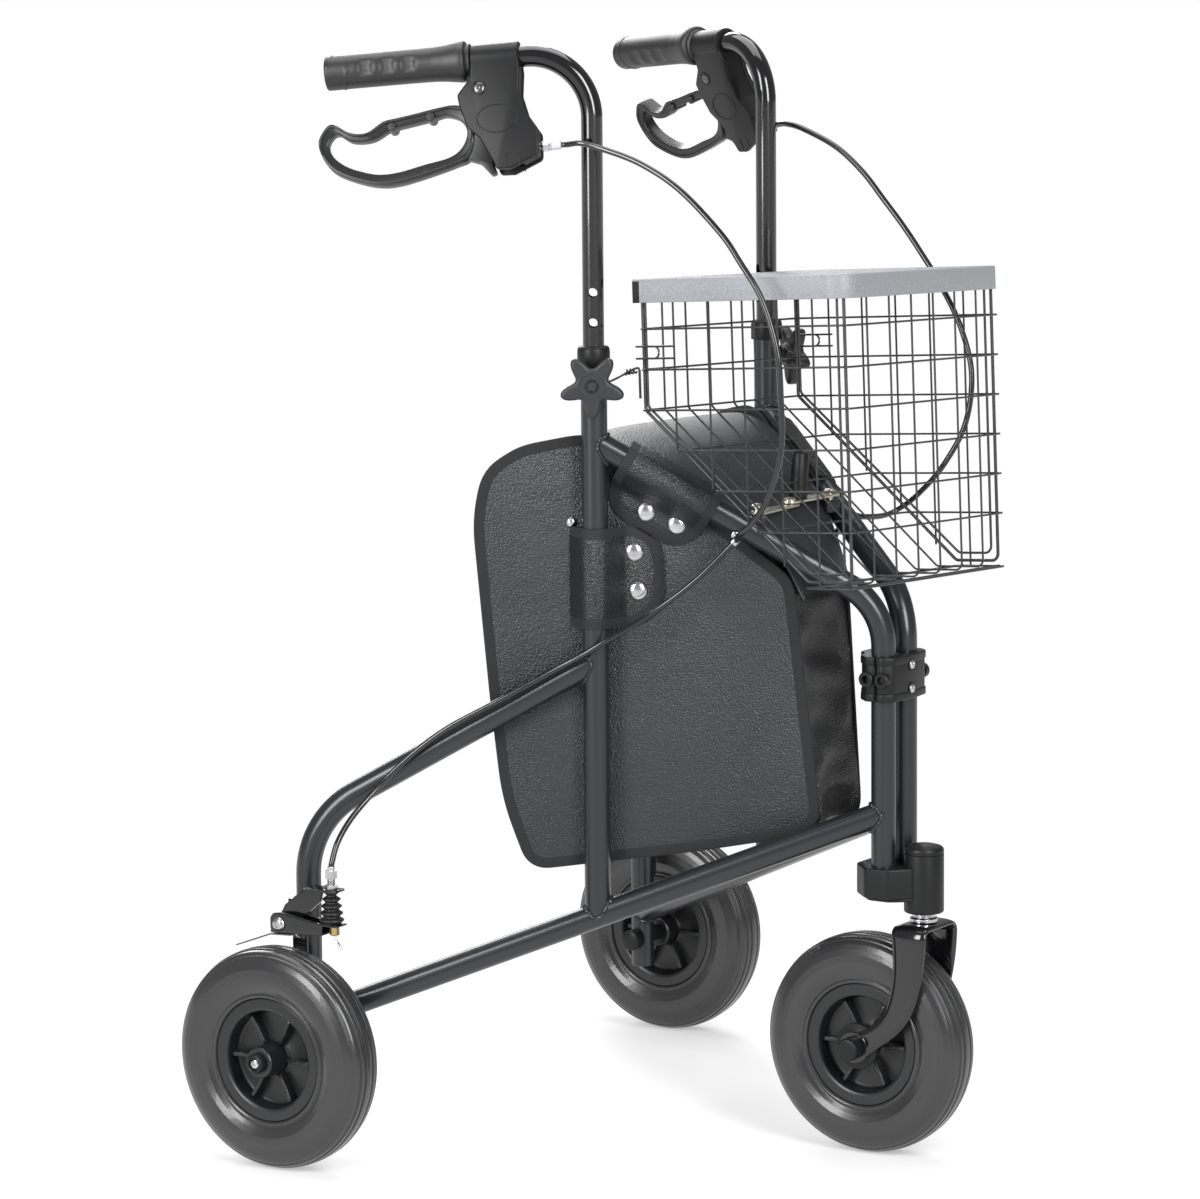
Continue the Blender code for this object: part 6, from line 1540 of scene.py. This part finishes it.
def between_panels(back_up_points, shares, edge=-14.6):
    """World points of (back, up) on both side frames, blended from left (0) to right (1)."""
    flat = np.asarray(back_up_points, float)
    left = to_frame(np.concatenate([np.full((len(flat), 1), edge), flat], -1))
    right = left * (-1, 1, 1)
    shares = np.asarray(shares, float)[None, :, None]
    return left[:, None] * (1 - shares) + right[:, None] * shares


shares = (1 - np.cos(np.linspace(0, math.pi, 72))) / 2
body_grid = between_panels(section_loop, shares)
s = np.arange(len(section_loop))[:, None] * spacing
span = np.linalg.norm(body_grid[:, 0] - body_grid[:, -1], axis=-1)[:, None]
x = (shares[None] - 0.5) * span
hold = np.minimum(np.sin(math.pi * shares)[None] * 2.2, 1.0)
sag = 5.0 * np.sin(math.pi * shares)[None] ** 2
folds = 1.7 * (1.5 * np.sin(s / 19 + 0.6 * np.sin(x / 23) + 1.1)
               + 1.2 * np.sin(s / 11.3 - x / 27 + 0.8)
               + 0.9 * np.sin(s / 7.1 + x / 15 + 2.0 * np.sin(s / 41))
               + 0.7 * np.sin(s / 5.3 - x / 33))
centre_line = between_panels(middle_point[None], shares)
pull_in = unit(centre_line - body_grid)
soft_grid = body_grid + pull_in * (sag + hold * (1.6 + folds))[..., None]
body_skin = skin(soft_grid.transpose(1, 0, 2))
bag = piece("bag_body", "centre", gusset_vinyl, [body_skin], ["bag_body"], crisp=75)
print("bag body has", soft_grid.shape[0] * soft_grid.shape[1], "points")

# %% [markdown]
# A domed flap lies over the top of the bag, with a taped front edge. The shell, the flap
# and its tape each get a mesh of their own.

# %% Bag flap
flap_points = flowing([(66, 478), (84, 512), (112, 546), (150, 575), (196, 600), (246, 611), (292, 606),
                       (322, 576), (331, 532)], 7)
flap_share = (1 - np.cos(np.linspace(0, math.pi, 40))) / 2
flap_grid = between_panels(flap_points, flap_share)
dome = 5.5 * np.sin(math.pi * flap_share)[None] ** 0.8
waves = 0.8 * np.sin(np.arange(len(flap_points))[:, None] / 4.1 + 5 * flap_share[None])
lift = dome + waves * np.sin(math.pi * flap_share)[None]
centre_flap = between_panels(middle_point[None], flap_share)
flap_grid = flap_grid - unit(centre_flap - flap_grid) * lift[..., None]
inner_flap = flap_grid + unit(centre_flap - flap_grid) * 1.6
sheet_loop = np.concatenate([flap_grid, inner_flap[:, ::-1]], 1)
# The flap's lighter vinyl is a painted sheen.
flap = piece("bag_flap", "centre", flap_vinyl, [skin(sheet_loop)], crisp=60)
hem_line = flap_grid[0] + unit(centre_flap[0] - flap_grid[0]) * 0.8
hem = piece("bag_flap_tape", "centre", binding, [
    carried(hem_line, np.stack([tape_flat * 0.35, tape_high * 3.2], -1), (0, 1, 0)),
])
for soft in (bag, flap, hem):
    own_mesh(soft)
print("flap is", len(flap_points), "points long and", len(flap_share), "wide")

# %% [markdown]
# A sheathed cable runs from each housing out in a wide loop round the basket, past a clip
# on the sloping tube, and back along the frame to the brake. Its route is a list of
# points under a smooth curve. The handles slide in height, while each cable is built
# once where it lies and rides on no body.

# %% Cables
near_loop = [(163, -37, 862), (157, -72, 850), (153, -108, 829), (150, -145, 795), (149, -163, 772),
             (148, -184, 741), (148, -198, 701), (147, -201, 660), (144, -199, 618), (136, -181, 576),
             (134, -164, 554), (131, -152, 545), (120, -142, 539), (105, -132, 535)]
far_loop = [(163, -37, 862), (161, -72, 847), (159, -100, 826), (157, -122, 803), (156, -142, 781),
            (156, -160, 758), (155, -180, 731), (155, -200, 695), (153, -212, 655), (149, -208, 612),
            (143, -190, 576), (140, -168, 551), (136, -151, 537), (123, -141, 531), (106, -131, 531)]
rear_run = [(12, 123, 533), (14, 154, 502), (12, 192, 472.5), (18, 238, 445), (12, 272, 425),
            (14, 323, 397), (13.5, 366, 374), (12.5, 396, 352), (15, 419, 331), (24, 436, 313.5),
            (37, 449.5, 297.5), (49.5, 459, 280.5)]
for side, sign in SIDES.items():
    loop = near_loop if side == "right" else far_loop
    start = to_grip([(u, cable_drop, 0) for u in (27.7, 22, 12)])
    end = to_mount([(*adjuster_spot[:2], 262.3)])
    route = np.concatenate([start, loop, to_frame(rear_run), end])
    line = evenly(flowing(route, 12), 3.0) * (sign, 1, 1)
    cable = piece(f"{side}_brake_cable", "", cable_skin, [tube(line, 2.5, (1, 0.2, 0.1), sides=20)],
                  [f"{side}_brake_cable"], crisp=80)
    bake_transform(cable)

# %% [markdown]
# A small clip on each sloping tube holds the cable where it passes.

# %% Cable clips
clip_spot = np.array([12.4, 124.0, 532.0])
clip_axis = unit(np.array([2.0, 31, -31]))
clip = turned([(2.6, -3.2), (3.8, -3.2), (3.8, 3.2), (2.6, 3.2)], clip_spot, clip_axis, hollow=True,
              sides=24)
saddle = turned([(3.6, 9.4), (3.6, 11.6), (2.6, 12.4), (0.4, 12.6)], (0, 124, 539), (1, 0, -0.25),
                sides=24)
pair("cable_clip", "{s}_frame", bright_steel, [clip, saddle], place=to_frame)
print("clips stand", clip_spot[1], "mm back along the frames")

# %% [markdown]
# The light is a soft studio of large lamps round the walker. Their sizes and places are
# in metres and their power in watts.

# %% Lamps
def lamp(name, spot, at, power, width, height):
    """A rectangular soft lamp at a spot, turned to look at a point; sizes in metres."""
    light = bpy.data.lights.new(name, "AREA")
    light.shape = "RECTANGLE"
    light.size = width
    light.size_y = height
    light.energy = power
    made = bpy.data.objects.new(name, light)
    made.location = spot
    made.rotation_euler = (Vector(at) - Vector(spot)).to_track_quat("-Z", "Y").to_euler()
    bpy.context.scene.collection.objects.link(made)
    return made


scene = bpy.context.scene
scene.view_settings.view_transform = "Standard"
middle = (0, 0, 0.5)
lamps = [
    lamp("key", (-1.5, -2.7, 1.9), middle, 105, 1.0, 2.2),
    lamp("side", (-3.0, 0.5, 1.6), middle, 90, 0.9, 2.2),
    lamp("back", (2.2, 2.4, 2.2), middle, 70, 2.0, 1.6),
    lamp("overhead", (0.4, 0.4, 3.0), middle, 60, 2.4, 2.4),
]
print("lamps:", [made.name for made in lamps])

# %% [markdown]
# The camera sees a white background, while reflections and shade see a dimmer one.

# %% Background
world = bpy.data.worlds.new("studio")
world.use_nodes = True
scene.world = world
sky = world.node_tree
path = sky.nodes.new("ShaderNodeLightPath")
seen = sky.nodes.new("ShaderNodeMath")
seen.operation = "MAXIMUM"
sky.links.new(path.outputs["Is Camera Ray"], seen.inputs[0])
sky.links.new(path.outputs["Is Transmission Ray"], seen.inputs[1])
level = sky.nodes.new("ShaderNodeMapRange")
level.inputs["To Min"].default_value = 0.3
level.inputs["To Max"].default_value = 1.0
sky.links.new(seen.outputs[0], level.inputs["Value"])
background = sky.nodes["Background"]
background.inputs["Color"].default_value = (1, 1, 1, 1)
sky.links.new(level.outputs["Result"], background.inputs["Strength"])
print("background gives", level.inputs["To Min"].default_value, "of its light to the walker")

# %% [markdown]
# The floor is pale and fades to the white background some way out from the walker.

# %% Floor
ground = Graph("ground", (0.9, 0.9, 0.9), 0.9)
far = ground.node("ShaderNodeVectorMath", {"operation": "LENGTH"}, {0: ground.place()})[1]
glow = ground.node("ShaderNodeEmission", {}, {"Color": (1, 1, 1, 1), "Strength": 1.0})[0]
matt = Socket(ground, ground.shader.outputs[0])
fade = ground.node("ShaderNodeMixShader", {}, {0: 0.4 + 0.6 * far.over(0.35, 1.1), 1: matt, 2: glow})[0]
ground.feed(ground.tree.nodes["Material Output"], {"Surface": fade})
plain = bpy.data.meshes.new("floor")
plain.from_pydata([(-30, -30, 0), (30, -30, 0), (30, 30, 0), (-30, 30, 0)], [], [(0, 1, 2, 3)])
plain.materials.append(ground.material)
floor = bpy.data.objects.new("floor", plain)
scene.collection.objects.link(floor)
print("floor reaches", plain.vertices[1].co.x, "m out")

# %% [markdown]
# The picture shows the walker from its right and front, seen almost level. The camera is
# set from the measured pose.

# %% Camera
turn, tilt, roll = (math.radians(angle) for angle in (33.177, -8.214, -0.456))
ahead = Vector((math.cos(turn) * math.cos(tilt), math.sin(turn) * math.cos(tilt), math.sin(tilt)))
right = Vector((math.sin(turn), -math.cos(turn), 0))
upward = right.cross(ahead)
right, upward = (math.cos(roll) * right + math.sin(roll) * upward,
                 math.cos(roll) * upward - math.sin(roll) * right)
lens = bpy.data.cameras.new("camera")
lens.lens = 156.65
lens.sensor_width = 36
camera = bpy.data.objects.new("camera", lens)
facing_walker = Matrix((right, upward, -ahead)).transposed().to_4x4()
camera.matrix_world = Matrix.Translation((-3.7816, -2.3992, 1.1093)) @ facing_walker
scene.collection.objects.link(camera)
scene.camera = camera
print("camera stands", round(camera.location.length, 2), "m from the middle")
